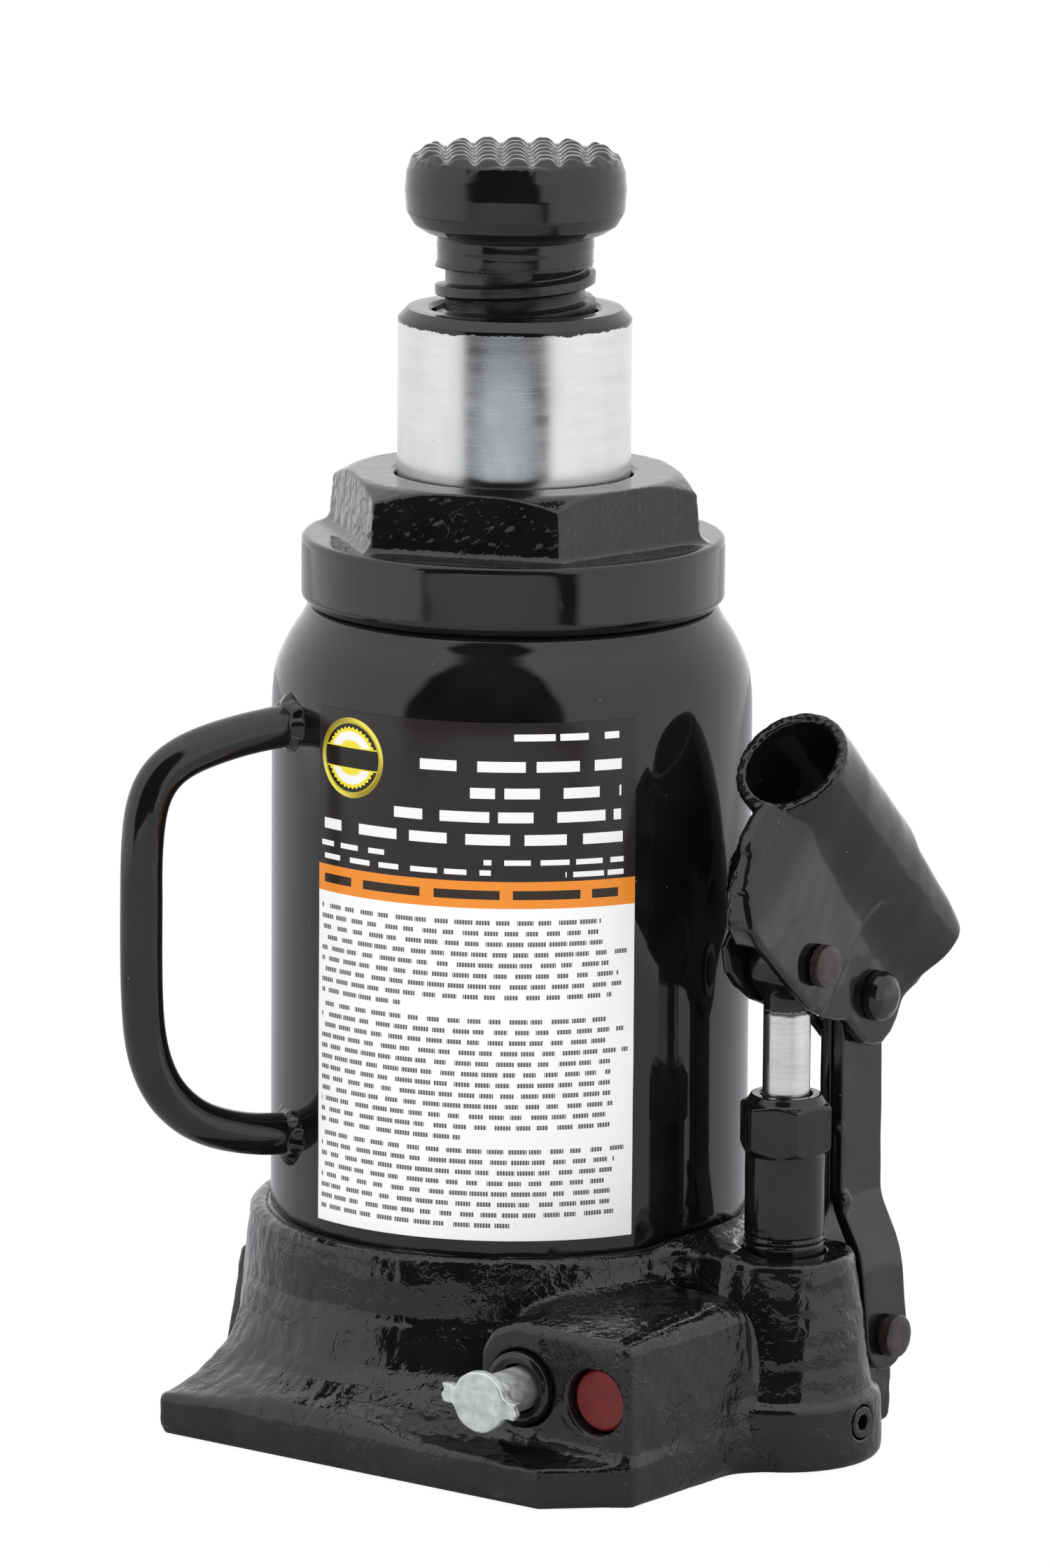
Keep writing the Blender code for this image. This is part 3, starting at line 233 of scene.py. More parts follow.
def surface(distance, low, high, step):
    """Surface net of distance = 0; only blocks near the surface are evaluated."""
    block = 8
    low = np.array(low, float)
    blocks = np.ceil((np.array(high, float) - low) / step / block).astype(int)
    centres = (np.indices(blocks).reshape(3, -1).T + 0.5) * block * step + low
    rough = distance(*centres.T)
    near = np.abs(rough) < block * step * 0.87 * 1.5 + 1.0
    field = np.full(tuple(blocks * block + 1), 9.0, np.float32)
    signs = np.where(rough < 0, -9.0, 9.0).reshape(tuple(blocks)).astype(np.float32)
    field[:-1, :-1, :-1] = signs.repeat(block, 0).repeat(block, 1).repeat(block, 2)
    starts = np.argwhere(near.reshape(tuple(blocks))) * block
    offsets = np.indices((block + 1,) * 3).reshape(3, -1).T
    for i in range(0, len(starts), 500):
        cells = (starts[i:i + 500][:, None] + offsets[None]).reshape(-1, 3)
        field[tuple(cells.T)] = distance(*(low + cells * step).T)

    # one vertex in each cell the surface passes through
    inside = field < 0
    shape = tuple(np.array(field.shape) - 1)
    count = np.zeros(shape, np.uint8)
    corners = [(i, j, k) for i in (0, 1) for j in (0, 1) for k in (0, 1)]
    for i, j, k in corners:
        count += inside[i:shape[0] + i, j:shape[1] + j, k:shape[2] + k]
    active = np.argwhere((count > 0) & (count < 8))
    index = np.full(shape, -1, np.int32)
    index[tuple(active.T)] = np.arange(len(active))
    values = np.stack([field[tuple((active + corner).T)] for corner in corners], 1)
    total, crossings = np.zeros((len(active), 3)), np.zeros(len(active))
    corners = np.array(corners, float)
    for a in range(8):
        for b in range(a + 1, 8):
            if np.abs(corners[a] - corners[b]).sum() != 1:
                continue
            crosses = (values[:, a] < 0) != (values[:, b] < 0)
            change = np.where(crosses, values[:, a] - values[:, b], 1)
            share = np.where(crosses, values[:, a] / change, 0)
            point = corners[a] + (corners[b] - corners[a]) * share[:, None]
            total += np.where(crosses[:, None], point, 0)
            crossings += crosses
    verts = low + (active + total / crossings[:, None]) * step

    # one quad round each grid edge the surface crosses
    faces = []
    for axis in range(3):
        u, v = [i for i in range(3) if i != axis]
        start, end = [slice(None)] * 3, [slice(None)] * 3
        start[axis], end[axis] = slice(0, -1), slice(1, None)
        first, second = inside[tuple(start)], inside[tuple(end)]
        edges = np.argwhere(first != second)
        edges = edges[(edges[:, u] > 0) & (edges[:, v] > 0)
                      & (edges[:, u] < field.shape[u] - 1) & (edges[:, v] < field.shape[v] - 1)]
        leaving = first[tuple(edges.T)]
        quads = []
        for du, dv in ((-1, -1), (0, -1), (0, 0), (-1, 0)):
            cells = edges.copy()
            cells[:, u] += du
            cells[:, v] += dv
            quads.append(index[tuple(cells.T)])
        quads = np.stack(quads, 1)
        keep = leaving if axis != 1 else ~leaving
        quads[~keep] = quads[~keep][:, ::-1]
        faces.append(quads)
    faces = np.concatenate(faces)
    faces = faces[(faces >= 0).all(1)]

    # pull the vertices onto the true surface
    netted = verts.copy()
    reach = 0.05
    for _ in range(2):
        value = distance(*verts.T)
        slope = np.stack([distance(*(verts + shift).T) - distance(*(verts - shift).T)
                          for shift in reach * np.eye(3)], 1) / (2 * reach)
        square = (slope ** 2).sum(1)
        move = -slope * (value / np.maximum(square, 1e-6))[:, None]
        move = np.where((square > 0.25)[:, None], move, 0)
        length = np.linalg.norm(move, axis=1)
        verts = verts + move * np.minimum(1, 0.6 * step / np.maximum(length, 1e-9))[:, None]
    return netted + np.clip(verts - netted, -0.7 * step, 0.7 * step), faces


def normals(verts, faces):
    a, b, c, d = (verts[faces[:, k]] for k in range(4))
    face_normals = np.cross(c - a, d - b)
    total = np.zeros_like(verts)
    for k in range(4):
        np.add.at(total, faces[:, k], face_normals)
    return total / np.maximum(np.linalg.norm(total, axis=1), 1e-12)[:, None]


def pushed(verts, faces, amount):
    """Vertices moved along their normals."""
    return verts + normals(verts, faces) * amount[:, None]


def lumps(points, size, seed, count=14):
    """Smooth random field, mostly within [-1, 1], with features of about `size` mm."""
    rng = np.random.RandomState(seed)
    total = np.zeros(len(points))
    for _ in range(count):
        wave = rng.normal(size=3)
        wave *= (2 * math.pi / size) * (0.6 + 0.8 * rng.rand()) / np.linalg.norm(wave)
        total += np.sin(points @ wave + rng.rand() * 6.283)
    return total / math.sqrt(count)


def fade(value, start, width):
    return np.clip((value - start) / width, 0, 1)


# ---------------------------------------------------------------- shader graphs
def operator(kind, swapped=False):
    def apply(self, other):
        return self.graph.math(kind, *((other, self) if swapped else (self, other)))
    return apply


class Value:
    """Output socket; each operator on it adds one math node."""
    def __init__(self, graph, socket):
        self.graph, self.socket = graph, socket

    __add__, __radd__ = operator("ADD"), operator("ADD", swapped=True)
    __sub__, __rsub__ = operator("SUBTRACT"), operator("SUBTRACT", swapped=True)
    __mul__, __truediv__ = operator("MULTIPLY"), operator("DIVIDE")
    __pow__ = operator("POWER")
    __gt__, __lt__ = operator("GREATER_THAN"), operator("LESS_THAN")


def rgba(color):
    return color if isinstance(color, Value) else tuple(color) + (1,)


class Graph:
    """Node tree with short makers for its nodes. Sizes and depths are in mm."""
    def __init__(self, tree, coordinates):
        self.tree = tree
        self.place = self.make("ShaderNodeTexCoord", coordinates, {})

    def find(self, kind):
        return next(node for node in self.tree.nodes if node.type == kind)

    def put(self, socket, value):
        if isinstance(value, Value):
            self.tree.links.new(value.socket, socket)
        else:
            socket.default_value = value

    def node(self, kind, inputs, **settings):
        node = self.tree.nodes.new(kind)
        for key, setting in settings.items():
            setattr(node, key, setting)
        for key, value in inputs.items():
            self.put(node.inputs[key], value)
        return node

    def make(self, kind, output, inputs, **settings):
        return Value(self, self.node(kind, inputs, **settings).outputs[output])

    def math(self, kind, *values, clamp=False):
        inputs = dict(enumerate(values))
        return self.make("ShaderNodeMath", 0, inputs, operation=kind, use_clamp=clamp)

    def split(self, vector):
        node = self.node("ShaderNodeSeparateXYZ", {0: vector})
        return [Value(self, socket) for socket in node.outputs]

    def combine(self, x, y, z):
        return self.make("ShaderNodeCombineXYZ", 0, {0: x, 1: y, 2: z})

    def noise(self, size, detail=2.0, rough=0.5, stretch=None, warp=0.0):
        place = self.place
        if stretch:
            place = self.make("ShaderNodeVectorMath", "Vector", {0: place, 1: stretch},
                              operation="MULTIPLY")
        return self.make("ShaderNodeTexNoise", "Fac", {
            "Vector": place, "Scale": 1000.0 / size, "Detail": detail,
            "Roughness": rough, "Distortion": warp})

    def ramp(self, value, span=(0.3, 0.7), out=(0.0, 1.0)):
        """Smooth step over span, mapped onto out."""
        return self.make("ShaderNodeMapRange", "Result", {
            "Value": value, "From Min": span[0], "From Max": span[1],
            "To Min": out[0], "To Max": out[1]}, interpolation_type="SMOOTHSTEP")

    def mix(self, factor, first, second):
        inputs = {"Factor": factor, "A": rgba(first), "B": rgba(second)}
        return self.make("ShaderNodeMix", "Result", inputs, data_type="RGBA")

    def mottle(self, dark, light, span=(0.3, 0.75), **noise):
        return self.mix(self.ramp(self.noise(**noise), span=span), dark, light)

    def bump(self, height, depth, over=None, strength=1.0):
        inputs = {"Strength": strength, "Distance": depth * MM, "Height": height}
        if over is not None:
            inputs["Normal"] = over
        return self.make("ShaderNodeBump", "Normal", inputs)

    def specks(self, cell, share, size):
        """Round specks, held by a share of the cells."""
        node = self.node("ShaderNodeTexVoronoi", {"Vector": self.place, "Scale": 1000.0 / cell})
        hit = self.split(Value(self, node.outputs["Color"]))[0] > 1.0 - share
        distance = Value(self, node.outputs["Distance"])
        return hit * self.ramp(distance, span=(size * 0.6, size), out=(1.0, 0.0))


class Material(Graph):
    def __init__(self, name):
        self.material = bpy.data.materials.new(name)
        self.material.use_nodes = True
        super().__init__(self.material.node_tree, "Object")
        self.shader = self.find("BSDF_PRINCIPLED")

    def finish(self, color, rough, normal, metal=0.0):
        inputs = self.shader.inputs
        self.put(inputs["Base Color"], rgba(color))
        self.put(inputs["Roughness"], rough)
        self.put(inputs["Metallic"], metal)
        self.put(inputs["Normal"], normal)
        return self.material

    def mix_surface(self, factor, first, second):
        mixed = self.make("ShaderNodeMixShader", 0, {0: factor, 1: first, 2: second})
        self.put(self.find("OUTPUT_MATERIAL").inputs["Surface"], mixed)


# ---------------------------------------------------------------- materials
BLACK = (0.0045, 0.0045, 0.0052)
SOFT_BLACK = (0.0085, 0.0085, 0.0095)


def enamel(name, rough, peel, peel_size, dust, grain=0.0, scuff=0.0):
    """Gloss black enamel with orange peel, dust nibs and faint scuffs."""
    g = Material(name)
    color = g.mottle(BLACK, SOFT_BLACK, size=16, detail=3)
    nib = g.specks(cell=2.6, share=dust, size=0.07)
    color = g.mix(nib * 0.55, color, (0.45, 0.45, 0.44))
    gloss = g.ramp(g.noise(size=9, detail=4, rough=0.6), span=(0.3, 0.75),
                   out=(rough * 0.75, rough * 1.5))
    if scuff > 0:
        marks = g.noise(size=2.0, detail=6, rough=0.7, stretch=(1.0, 1.0, 0.35))
        marks = g.ramp(marks, span=(0.62, 0.78), out=(0.0, scuff))
        gloss = g.math("ADD", gloss, marks, clamp=True)
    gloss = g.math("ADD", gloss, nib * 0.4, clamp=True)
    normal = g.bump(g.noise(size=peel_size, detail=1.5, rough=0.45), depth=peel)
    if grain > 0:
        normal = g.bump(g.noise(size=0.9, detail=3, rough=0.6), depth=grain, over=normal)
    return g.finish(color, gloss, g.bump(nib, depth=0.05, over=normal))


def cast_enamel(name, coarse, fine, rough, patch_size, above=None):
    """Enamel that follows pits, grain and flow lines; smooth below height `above`."""
    g = Material(name)
    color = g.mottle(BLACK, SOFT_BLACK, size=14, detail=3)
    nib = g.specks(cell=2.2, share=0.03, size=0.08)
    color = g.mix(nib * 0.5, color, (0.4, 0.4, 0.39))
    where = g.ramp(g.noise(size=patch_size, detail=2), span=(0.42, 0.66), out=(0.22, 1.0))
    if above is not None:
        where = where * g.ramp(g.split(g.place)[2] * 1000.0, span=(above, above + 0.8))
    pits = g.ramp(g.noise(size=1.9, detail=2, warp=0.5), span=(0.36, 0.58))
    pocks = g.ramp(g.noise(size=3.0, detail=1.5, warp=0.8), span=(0.30, 0.38))
    flow = g.noise(size=2.0, detail=1.5, stretch=(1.0, 1.0, 0.3))
    normal = None
    for height, depth in ((g.noise(size=5.0, detail=1.5), coarse * 1.3), (pits, coarse),
                          (pocks, coarse * 1.1), (flow, fine * 1.5)):
        normal = g.bump(height, depth, over=normal, strength=where)
    gloss = g.ramp(g.noise(size=6, detail=4, rough=0.6), span=(0.3, 0.75),
                   out=(rough * 0.6, rough * 1.5))
    return g.finish(color, gloss, normal)


def steel(name, color, rough):
    """Steel with cloudy polish and small dark marks."""
    g = Material(name)
    fine = g.noise(size=0.55, detail=4, rough=0.65, stretch=(1, 1, 1))
    coarse = g.noise(size=2.6, detail=3, rough=0.6, stretch=(1, 1, 1))
    cloud = g.noise(size=11, detail=4, rough=0.62)
    tone = g.mix(g.ramp(coarse), tuple(q * 0.93 for q in color), color)
    dull = g.ramp(cloud, span=(0.35, 0.75), out=(0.0, 0.175))
    tone = g.mix(dull, tone, tuple(q * 0.72 for q in color))
    marks = g.specks(cell=3.4, share=0.05, size=0.055)
    tone = g.mix(marks * 0.7, tone, (0.08, 0.075, 0.07))
    gloss = g.ramp(fine * 0.6 + cloud * 0.4, out=(rough * 0.75, rough * 1.3))
    normal = g.bump(coarse, depth=0.0096, over=g.bump(fine, depth=0.006))
    return g.finish(tone, gloss, normal, metal=1.0)


def plain(name, color, rough, metal=0.0, grain=0.01):
    """Lightly mottled surface."""
    g = Material(name)
    dark, light = tuple(q * 0.85 for q in color), tuple(min(1, q * 1.12) for q in color)
    tone = g.mottle(dark, light, size=4.8, detail=4, rough=0.6)
    gloss = g.ramp(g.noise(size=2.4, detail=4), out=(rough * 0.8, min(1, rough * 1.2)))
    return g.finish(tone, gloss, g.bump(g.noise(size=0.6, detail=3), depth=grain), metal)


def thread_material():
    g = Material("screw_thread_enamel")
    color = g.mottle((0.006, 0.006, 0.007), (0.014, 0.014, 0.015), size=8, detail=3)
    rings = g.noise(size=0.42, detail=3, rough=0.6, stretch=(0.04, 0.04, 1.5))
    normal = g.bump(rings, depth=0.045)
    normal = g.bump(g.noise(size=2.2, detail=3), depth=0.03, over=normal)
    return g.finish(color, g.ramp(g.noise(size=3, detail=4), out=(0.16, 0.34)), normal)


def ram_material():
    """Ground steel; the top edge and the inside are black, with a ragged lower border."""
    g = Material("ram_ground_steel")
    x, y, z = g.split(g.place)
    fine = g.noise(size=0.5, detail=4, rough=0.65, stretch=(0.04, 0.04, 1.5))
    coarse = g.noise(size=3.0, detail=4, rough=0.6, stretch=(0.12, 0.12, 1.4))
    cloud = g.noise(size=10, detail=4, rough=0.6, stretch=(1, 1, 0.5))
    color = g.mix(g.ramp(coarse), (0.60, 0.61, 0.615), (0.66, 0.67, 0.675))
    dull = g.ramp(cloud, span=(0.42, 0.8), out=(0.0, 0.25))
    color = g.mix(dull, color, (0.50, 0.51, 0.52))
    marks = g.specks(cell=3.0, share=0.07, size=0.06)
    color = g.mix(marks * 0.8, color, (0.06, 0.06, 0.06))
    gloss = g.ramp(coarse * 0.5 + cloud * 0.5, span=(0.32, 0.68), out=(0.19, 0.30))
    normal = g.bump(coarse, depth=0.0065, over=g.bump(fine, depth=0.0075))
    ragged = ((g.noise(size=1.1, detail=5, rough=0.7) - 0.5) * 1.5
              + (g.noise(size=7.0, detail=2) - 0.5) * 1.6)
    height = z * 1000.0 + ragged
    paint = g.ramp(height, span=(245.35, 245.5))
    flecks = ((g.noise(size=0.8, detail=3, rough=0.7) > 0.66)
              * g.ramp(height, span=(244.3, 245.3)))
    paint = g.math("MAXIMUM", paint, flecks)
    inside = g.math("SQRT", x * x + y * y) < 0.0249         # metres from the axis
    paint = g.math("MAXIMUM", paint, inside)
    return g.finish(g.mix(paint, color, BLACK), paint * 0.11 + (1.0 - paint) * gloss,
                    g.bump(paint, depth=0.04, over=normal), metal=1.0 - paint)


def plunger_material():
    """Ground steel below z = 100, black enamel above, with a dark edge between."""
    g = Material("plunger_ground_and_painted")
    z = g.split(g.place)[2]
    fine = g.noise(size=0.6, detail=4, rough=0.65, stretch=(0.05, 0.05, 1.3))
    cloud = g.noise(size=5, detail=4, rough=0.65, stretch=(1, 1, 0.3))
    color = g.mix(g.ramp(fine), (0.66, 0.65, 0.64), (0.80, 0.79, 0.78))
    dull = g.ramp(cloud, span=(0.5, 0.8), out=(0.0, 0.5))
    color = g.mix(dull, color, (0.45, 0.44, 0.43))
    color = g.mix(g.specks(cell=1.7, share=0.14, size=0.09), color, (0.07, 0.06, 0.055))
    height = z * 1000.0 + (g.noise(size=1.6, detail=4, rough=0.65) - 0.5) * 2.0
    paint = g.ramp(height, span=(99.6, 100.1))
    edge = g.ramp(height, span=(98.6, 99.4)) * (1.0 - paint)
    color = g.mix(paint, g.mix(edge, color, (0.12, 0.11, 0.10)), BLACK)
    gloss = paint * 0.12 + (1.0 - paint) * g.ramp(cloud, out=(0.16, 0.30))
    return g.finish(color, gloss, g.bump(fine, depth=0.004), metal=1.0 - paint)


def zinc_material():
    g = Material("release_zinc_plate")
    cloud = g.noise(size=3.0, detail=5, rough=0.65)
    color = g.mix(g.ramp(cloud), (0.50, 0.53, 0.52), (0.74, 0.77, 0.74))
    color = g.mix(g.specks(cell=1.6, share=0.12, size=0.10), color, (0.25, 0.26, 0.24))
    normal = g.bump(g.noise(size=0.5, detail=4, rough=0.65), depth=0.035)
    normal = g.bump(g.noise(size=2.2, detail=3), depth=0.05, over=normal)
    return g.finish(color, g.ramp(cloud, out=(0.38, 0.55)), normal, metal=0.85)


def red_material():
    g = Material("safety_cap_red_plastic")
    color = g.mottle((0.125, 0.008, 0.008), (0.175, 0.014, 0.012), size=4, detail=4, rough=0.6)
    color = g.mix(g.specks(cell=1.8, share=0.10, size=0.09), color, (0.30, 0.10, 0.08))
    gloss = g.ramp(g.noise(size=2, detail=4), out=(0.42, 0.62))
    return g.finish(color, gloss, g.bump(g.noise(size=0.7, detail=3, rough=0.6), depth=0.02))


def pin_material():
    g = Material("pin_head_oiled_steel")
    color = g.mottle((0.018, 0.014, 0.013), (0.050, 0.038, 0.034), span=(0.3, 0.7),
                     size=3.5, detail=4, rough=0.65)
    color = g.mix(g.specks(cell=1.5, share=0.06, size=0.12), color, (0.10, 0.08, 0.07))
    normal = g.bump(g.noise(size=0.6, detail=4, rough=0.6), depth=0.02)
    normal = g.bump(g.noise(size=2.5, detail=2), depth=0.04, over=normal)
    gloss = g.ramp(g.noise(size=2, detail=4), out=(0.26, 0.42))
    return g.finish(color, gloss, normal, metal=0.25)


tank_enamel = enamel("tank_gloss_enamel", rough=0.055, peel=0.010, peel_size=6.0, dust=0.02)
base_enamel = cast_enamel("cast_base_enamel", coarse=0.115, fine=0.035, rough=0.045,
                          patch_size=16)
nut_enamel = cast_enamel("forged_nut_enamel", coarse=0.040, fine=0.012, rough=0.055,
                         patch_size=10, above=197.2)
handle_enamel = enamel("handle_enamel", rough=0.08, peel=0.02, peel_size=4.0, dust=0.05)
socket_enamel = enamel("socket_enamel", rough=0.09, peel=0.05, peel_size=7.5, grain=0.004,
                       dust=0.10, scuff=0.10)
link_enamel = enamel("link_enamel", rough=0.13, peel=0.02, peel_size=6.0, dust=0.06, scuff=0.08)
pump_enamel = enamel("pump_enamel", rough=0.09, peel=0.015, peel_size=3.0, dust=0.06)
saddle_enamel = enamel("saddle_enamel", rough=0.13, peel=0.030, peel_size=5.5, dust=0.04)
dome_enamel = enamel("pin_dome_enamel", rough=0.16, peel=0.01, peel_size=2.0, dust=0.1)
thread_enamel = thread_material()
ram_steel = ram_material()
zinc = zinc_material()
red_plastic = red_material()
pin_steel = pin_material()
rubber = plain("nitrile_rubber", (0.012, 0.012, 0.012), rough=0.6)
urethane = plain("seal_urethane_black", (0.02, 0.02, 0.024), rough=0.4)
copper = plain("soft_copper", (0.62, 0.30, 0.17), rough=0.35, metal=1.0)
fibre = plain("gasket_fibre_brown", (0.17, 0.12, 0.08), rough=0.8, grain=0.03)
bright_steel = steel("bright_steel", (0.60, 0.60, 0.61), rough=0.3)
spring_steel = steel("spring_wire", (0.30, 0.30, 0.31), rough=0.35)
plunger_steel = plunger_material()

# ---------------------------------------------------------------- base casting
# outlines (r, z) about the tank axis
WALL = [(0, 2.2), (59.2, 2.2), (59.3, 14), (58.4, 18.5), (57.7, 25), (57.0, 32), (56.5, 39),
        (55.9, 43.4), (0, 43.6)]
APRON = [(0, 3), (86, 3), (86, 8.2), (82.5, 8.5), (79.0, 9.7), (74.3, 12.0), (69.9, 14.2),
         (65.9, 17.0), (63.0, 20.6), (61.0, 24.6), (59.6, 29), (0, 29)]
HOLLOW = [(-1, 15), (35, 15), (35, 20), (49.5, 20), (49.5, 36), (54.15, 36), (54.15, 44.6),
          (55.0, 46.4), (56, 60), (-1, 60)]
# plans (x, y)
PLATE = [(-39.5, -72.8), (62.2, -72.8), (76.4, -59.6), (76.4, -6.0), (39.5, 3.6), (39.5, 72.8),
         (-62.2, 72.8), (-76.4, 59.6), (-76.4, 14.0), (-39.5, -3.6)]
WEB = [(44, -13.0), (70, -13.4), (70, 13.4), (44, 13.0)]
# sections (y, z), (x, z) and (y, z)
FOOT = [(-11.4, 1.6), (-5.6, 23.4), (14.0, 23.4), (20.0, 1.6)]
VALVE_BLOCK = [(39.6, 4), (75.0, 4), (75.0, 33.2), (72.6, 33.6), (46.5, 33.6), (42.4, 32.0),
               (40.2, 28.6)]
LUG = ([(8, 2.6), (31.8, 2.6), (32.4, 10)]
       + [(LOWER_PIN[0] + 6.6 * math.cos(a), LOWER_PIN[1] + 6.6 * math.sin(a))
          for a in np.linspace(-0.2, 2.0, 7)] + [(12, 26)])
# outlines (r, z) about the pump axis
BOSS = [(0, 1.5), (20.3, 1.5), (20.2, 13.2), (18.6, 14.6), (17.2, 22), (15.6, 34), (14.2, 43.7),
        (0, 43.9)]
PUMP_BORE = [(-1, 16), (7.6, 16), (7.6, 43.4), (9.3, 43.4), (9.3, 45.2), (10.6, 47), (10.6, 60),
             (-1, 60)]
# bores (r, y) about the valve axes
RELEASE_BORE = [(-1, -70), (8.9, -70), (8.55, -60.9), (8.55, -55.5), (5.5, -55.5),
                (5.5, -31.5), (1.7, -28.5), (1.7, -4), (-1, -4)]
CAP_BORE = [(-1, -70), (7.9, -70), (7.35, -60.9), (7.35, -52.5), (4.3, -52.5), (4.3, -29),
            (1.5, -26.5), (1.5, -2), (-1, -2)]
# passages (r, x) along x
LOWER_PASSAGE = [(-1, -4), (1.9, -4), (1.9, 62), (3.2, 63.5), (3.2, 88), (3.9, 88),
                 (3.9, 96.9), (4.5, 98), (4.5, 110), (-1, 110)]
UPPER_PASSAGE = [(-1, 45), (1.6, 45), (1.6, 57), (2.9, 58.2), (2.9, 76), (-1, 76)]


def base_distance(x, y, z):
    radius = np.hypot(x, y)
    pump_radius = np.hypot(x - PUMP_X, y)
    lower_pin = np.hypot(y - LOWER_PIN[0], z - LOWER_PIN[1])
    plan = outline(x, y, PLATE) - 1.5
    body = join(outline(radius, z, WALL) - 2.2, extrude(plan, z, 0.0, 9.0, 0.9), 2.0)
    body = join(body, common(outline(radius, z, APRON), plan + 0.15, 2.0), 3.0)
    body = join(body, extrude(outline(y, z, FOOT) - 1.6, x, -71.5, -46.0, 1.6), 2.0)
    # the valve block is drafted towards -y
    block = outline(x, z, VALVE_BLOCK) - 2.6
    block = extrude(block - np.clip((y + 61.5) * 0.07, 0, 2.6), y, -61.5, -20.0, 1.6)
    body = join(body, block, 4.0)
    body = join(body, outline(pump_radius, z, BOSS) - 1.6, 6.0)
    body = join(body, extrude(outline(x, y, WEB) - 1.0, z, 1.0, 45.2, 1.0), 7.0)
    lug = extrude(outline(y, z, LUG) - 2.0, x, PUMP_X - 6.4, PUMP_X + 6.4, 1.2)
    body = join(body, lug, 3.0)
    body = cut(body, outline(radius, z, HOLLOW), 0.8)
    bores = np.minimum.reduce([
        outline(pump_radius, z, PUMP_BORE),
        outline(np.hypot(x - RELEASE_AT[0], z - RELEASE_AT[1]), y, RELEASE_BORE),
        outline(np.hypot(x - CAP_AT[0], z - CAP_AT[1]), y, CAP_BORE),
        outline(np.hypot(y, z - PASSAGE_Z), x, LOWER_PASSAGE),
        outline(np.hypot(y, z - 27.0), x, UPPER_PASSAGE),
        extrude(radius - 2.4, z, PASSAGE_Z, 18),
        extrude(pump_radius - 2.2, z, PASSAGE_Z, 18),
        lower_pin - 4.15])
    return cut(body, bores, 0.5)


verts, faces = surface(base_distance, (-81, -78, -2), (101, 78, 50), 0.55)
x, y, z = verts.T
# the cast skin is lumpy outside and fades out at the bores and the underside
skin = fade(np.hypot(x, y), 55.2, 1.5) * fade(z, 0.6, 1.5)
for at_x, at_z in (RELEASE_AT, CAP_AT):
    skin *= fade(np.hypot(x - at_x, z - at_z), 8.7, 1.5) ** (y < -50)
skin *= fade(np.hypot(x - PUMP_X, y), 9.8, 2) ** (z > 40)
skin *= fade(np.hypot(y, z - PASSAGE_Z), 4.8, 1.5) ** (x > 90)
skin *= fade(np.hypot(y - LOWER_PIN[0], z - LOWER_PIN[1]), 4.5, 2) ** (x > 68)
relief = (0.14 * lumps(verts, 15, 3) + 0.075 * lumps(verts, 6.5, 5)
          + 0.032 * lumps(verts * np.array([1, 1, 0.55]), 3.0, 6, 18))
verts = pushed(verts, faces, np.clip(relief, -0.45, 0.3) * skin)
verts[:, 2] = np.maximum(verts[:, 2], 0.0)
piece("base_casting_fine", verts, faces, base_enamel, "base", "base_casting",
      sharp=60)

# ---------------------------------------------------------------- tank
# (r, z)
SHOULDER = [(TANK_RADIUS, 157.5), (53.55, 160.5), (53.4, 163.3), (53.05, 166.2), (52.55, 168.3),
            (52.0, 170.0), (51.3, 171.6), (50.5, 173.4), (49.6, 175.1), (48.6, 176.7),
            (47.6, 178.2), (46.7, 179.6), (46.0, 181.0), (45.2, 181.9), (44.2, 182.05),
            (42.6, 182.0)]
TANK_INSIDE = [(39.6, 180.0), (43.9, 178.0), (46.8, 173.8), (49.4, 168.0), (50.5, 163.0),
               (TANK_RADIUS - 3, 158)]
profile = [(TANK_RADIUS - 3, 37.2), (TANK_RADIUS - 0.6, 36.6), (TANK_RADIUS, 37.2)]
profile += [(TANK_RADIUS, height) for height in np.linspace(42, 154, 29)]
profile += SHOULDER + [(42.6, 181.6)] + TANK_INSIDE
verts, faces = lathe(profile, 192, closed=True)
outward = verts * np.array([1, 1, 0])
outward /= np.maximum(np.linalg.norm(outward, axis=1), 1e-6)[:, None]
verts = verts + outward * (0.035 * lumps(verts * np.array([1, 1, 0.45]), 26, 21))[:, None]
piece("tank_fine", verts, faces, tank_enamel, "base", "tank_shell", sharp=50)

# uneven bead round the seam between tank and casting
SEAM_RADIUS, SEAM_Z, SEAM_RINGS, SEAM_SEGMENTS = 53.9, 44.6, 240, 10
angle = np.linspace(0, 2 * math.pi, SEAM_RINGS + 1)[:-1]
outward = np.stack([np.cos(angle), np.sin(angle), 0 * angle], 1)
path = SEAM_RADIUS * outward
path[:, 2] = SEAM_Z + 0.35 * np.sin(5 * angle + 1) + 0.2 * np.sin(13 * angle)
thickness = 0.72 + 0.16 * np.sin(9 * angle + 2) + 0.10 * np.sin(31 * angle)
verts = tube_verts(path, thickness, outward, np.array([0, 0, 1.0]), SEAM_SEGMENTS)
faces = [face[::-1] for face in tube_faces(SEAM_RINGS, SEAM_SEGMENTS, closed=True)]
piece("tank_seam_bead", verts, faces, base_enamel, "base")

# ---------------------------------------------------------------- top nut
NUT_TURN = math.radians(19.5)
NUT_FLAT = 36.9                # half the width across flats, at z = 204
NUT_TOP = 211.8
NUT_BEVEL = math.radians(29.5)
# (r, z)
COLLAR = [(25, 183.4), (44.9, 183.4), (45.9, 184.6), (45.9, 196.5), (25, 196.5)]
NUT_BORE = [(-1, 160), (34.8, 160), (34.8, 196.0), (28.6, 196.0), (28.6, 190.2), (26.3, 190.2),
            (26.3, 202.9), (28.4, 202.9), (28.4, 206.3), (26.3, 206.3), (26.35, 210.9),
            (27.3, 212.0), (27.6, 220), (-1, 220)]


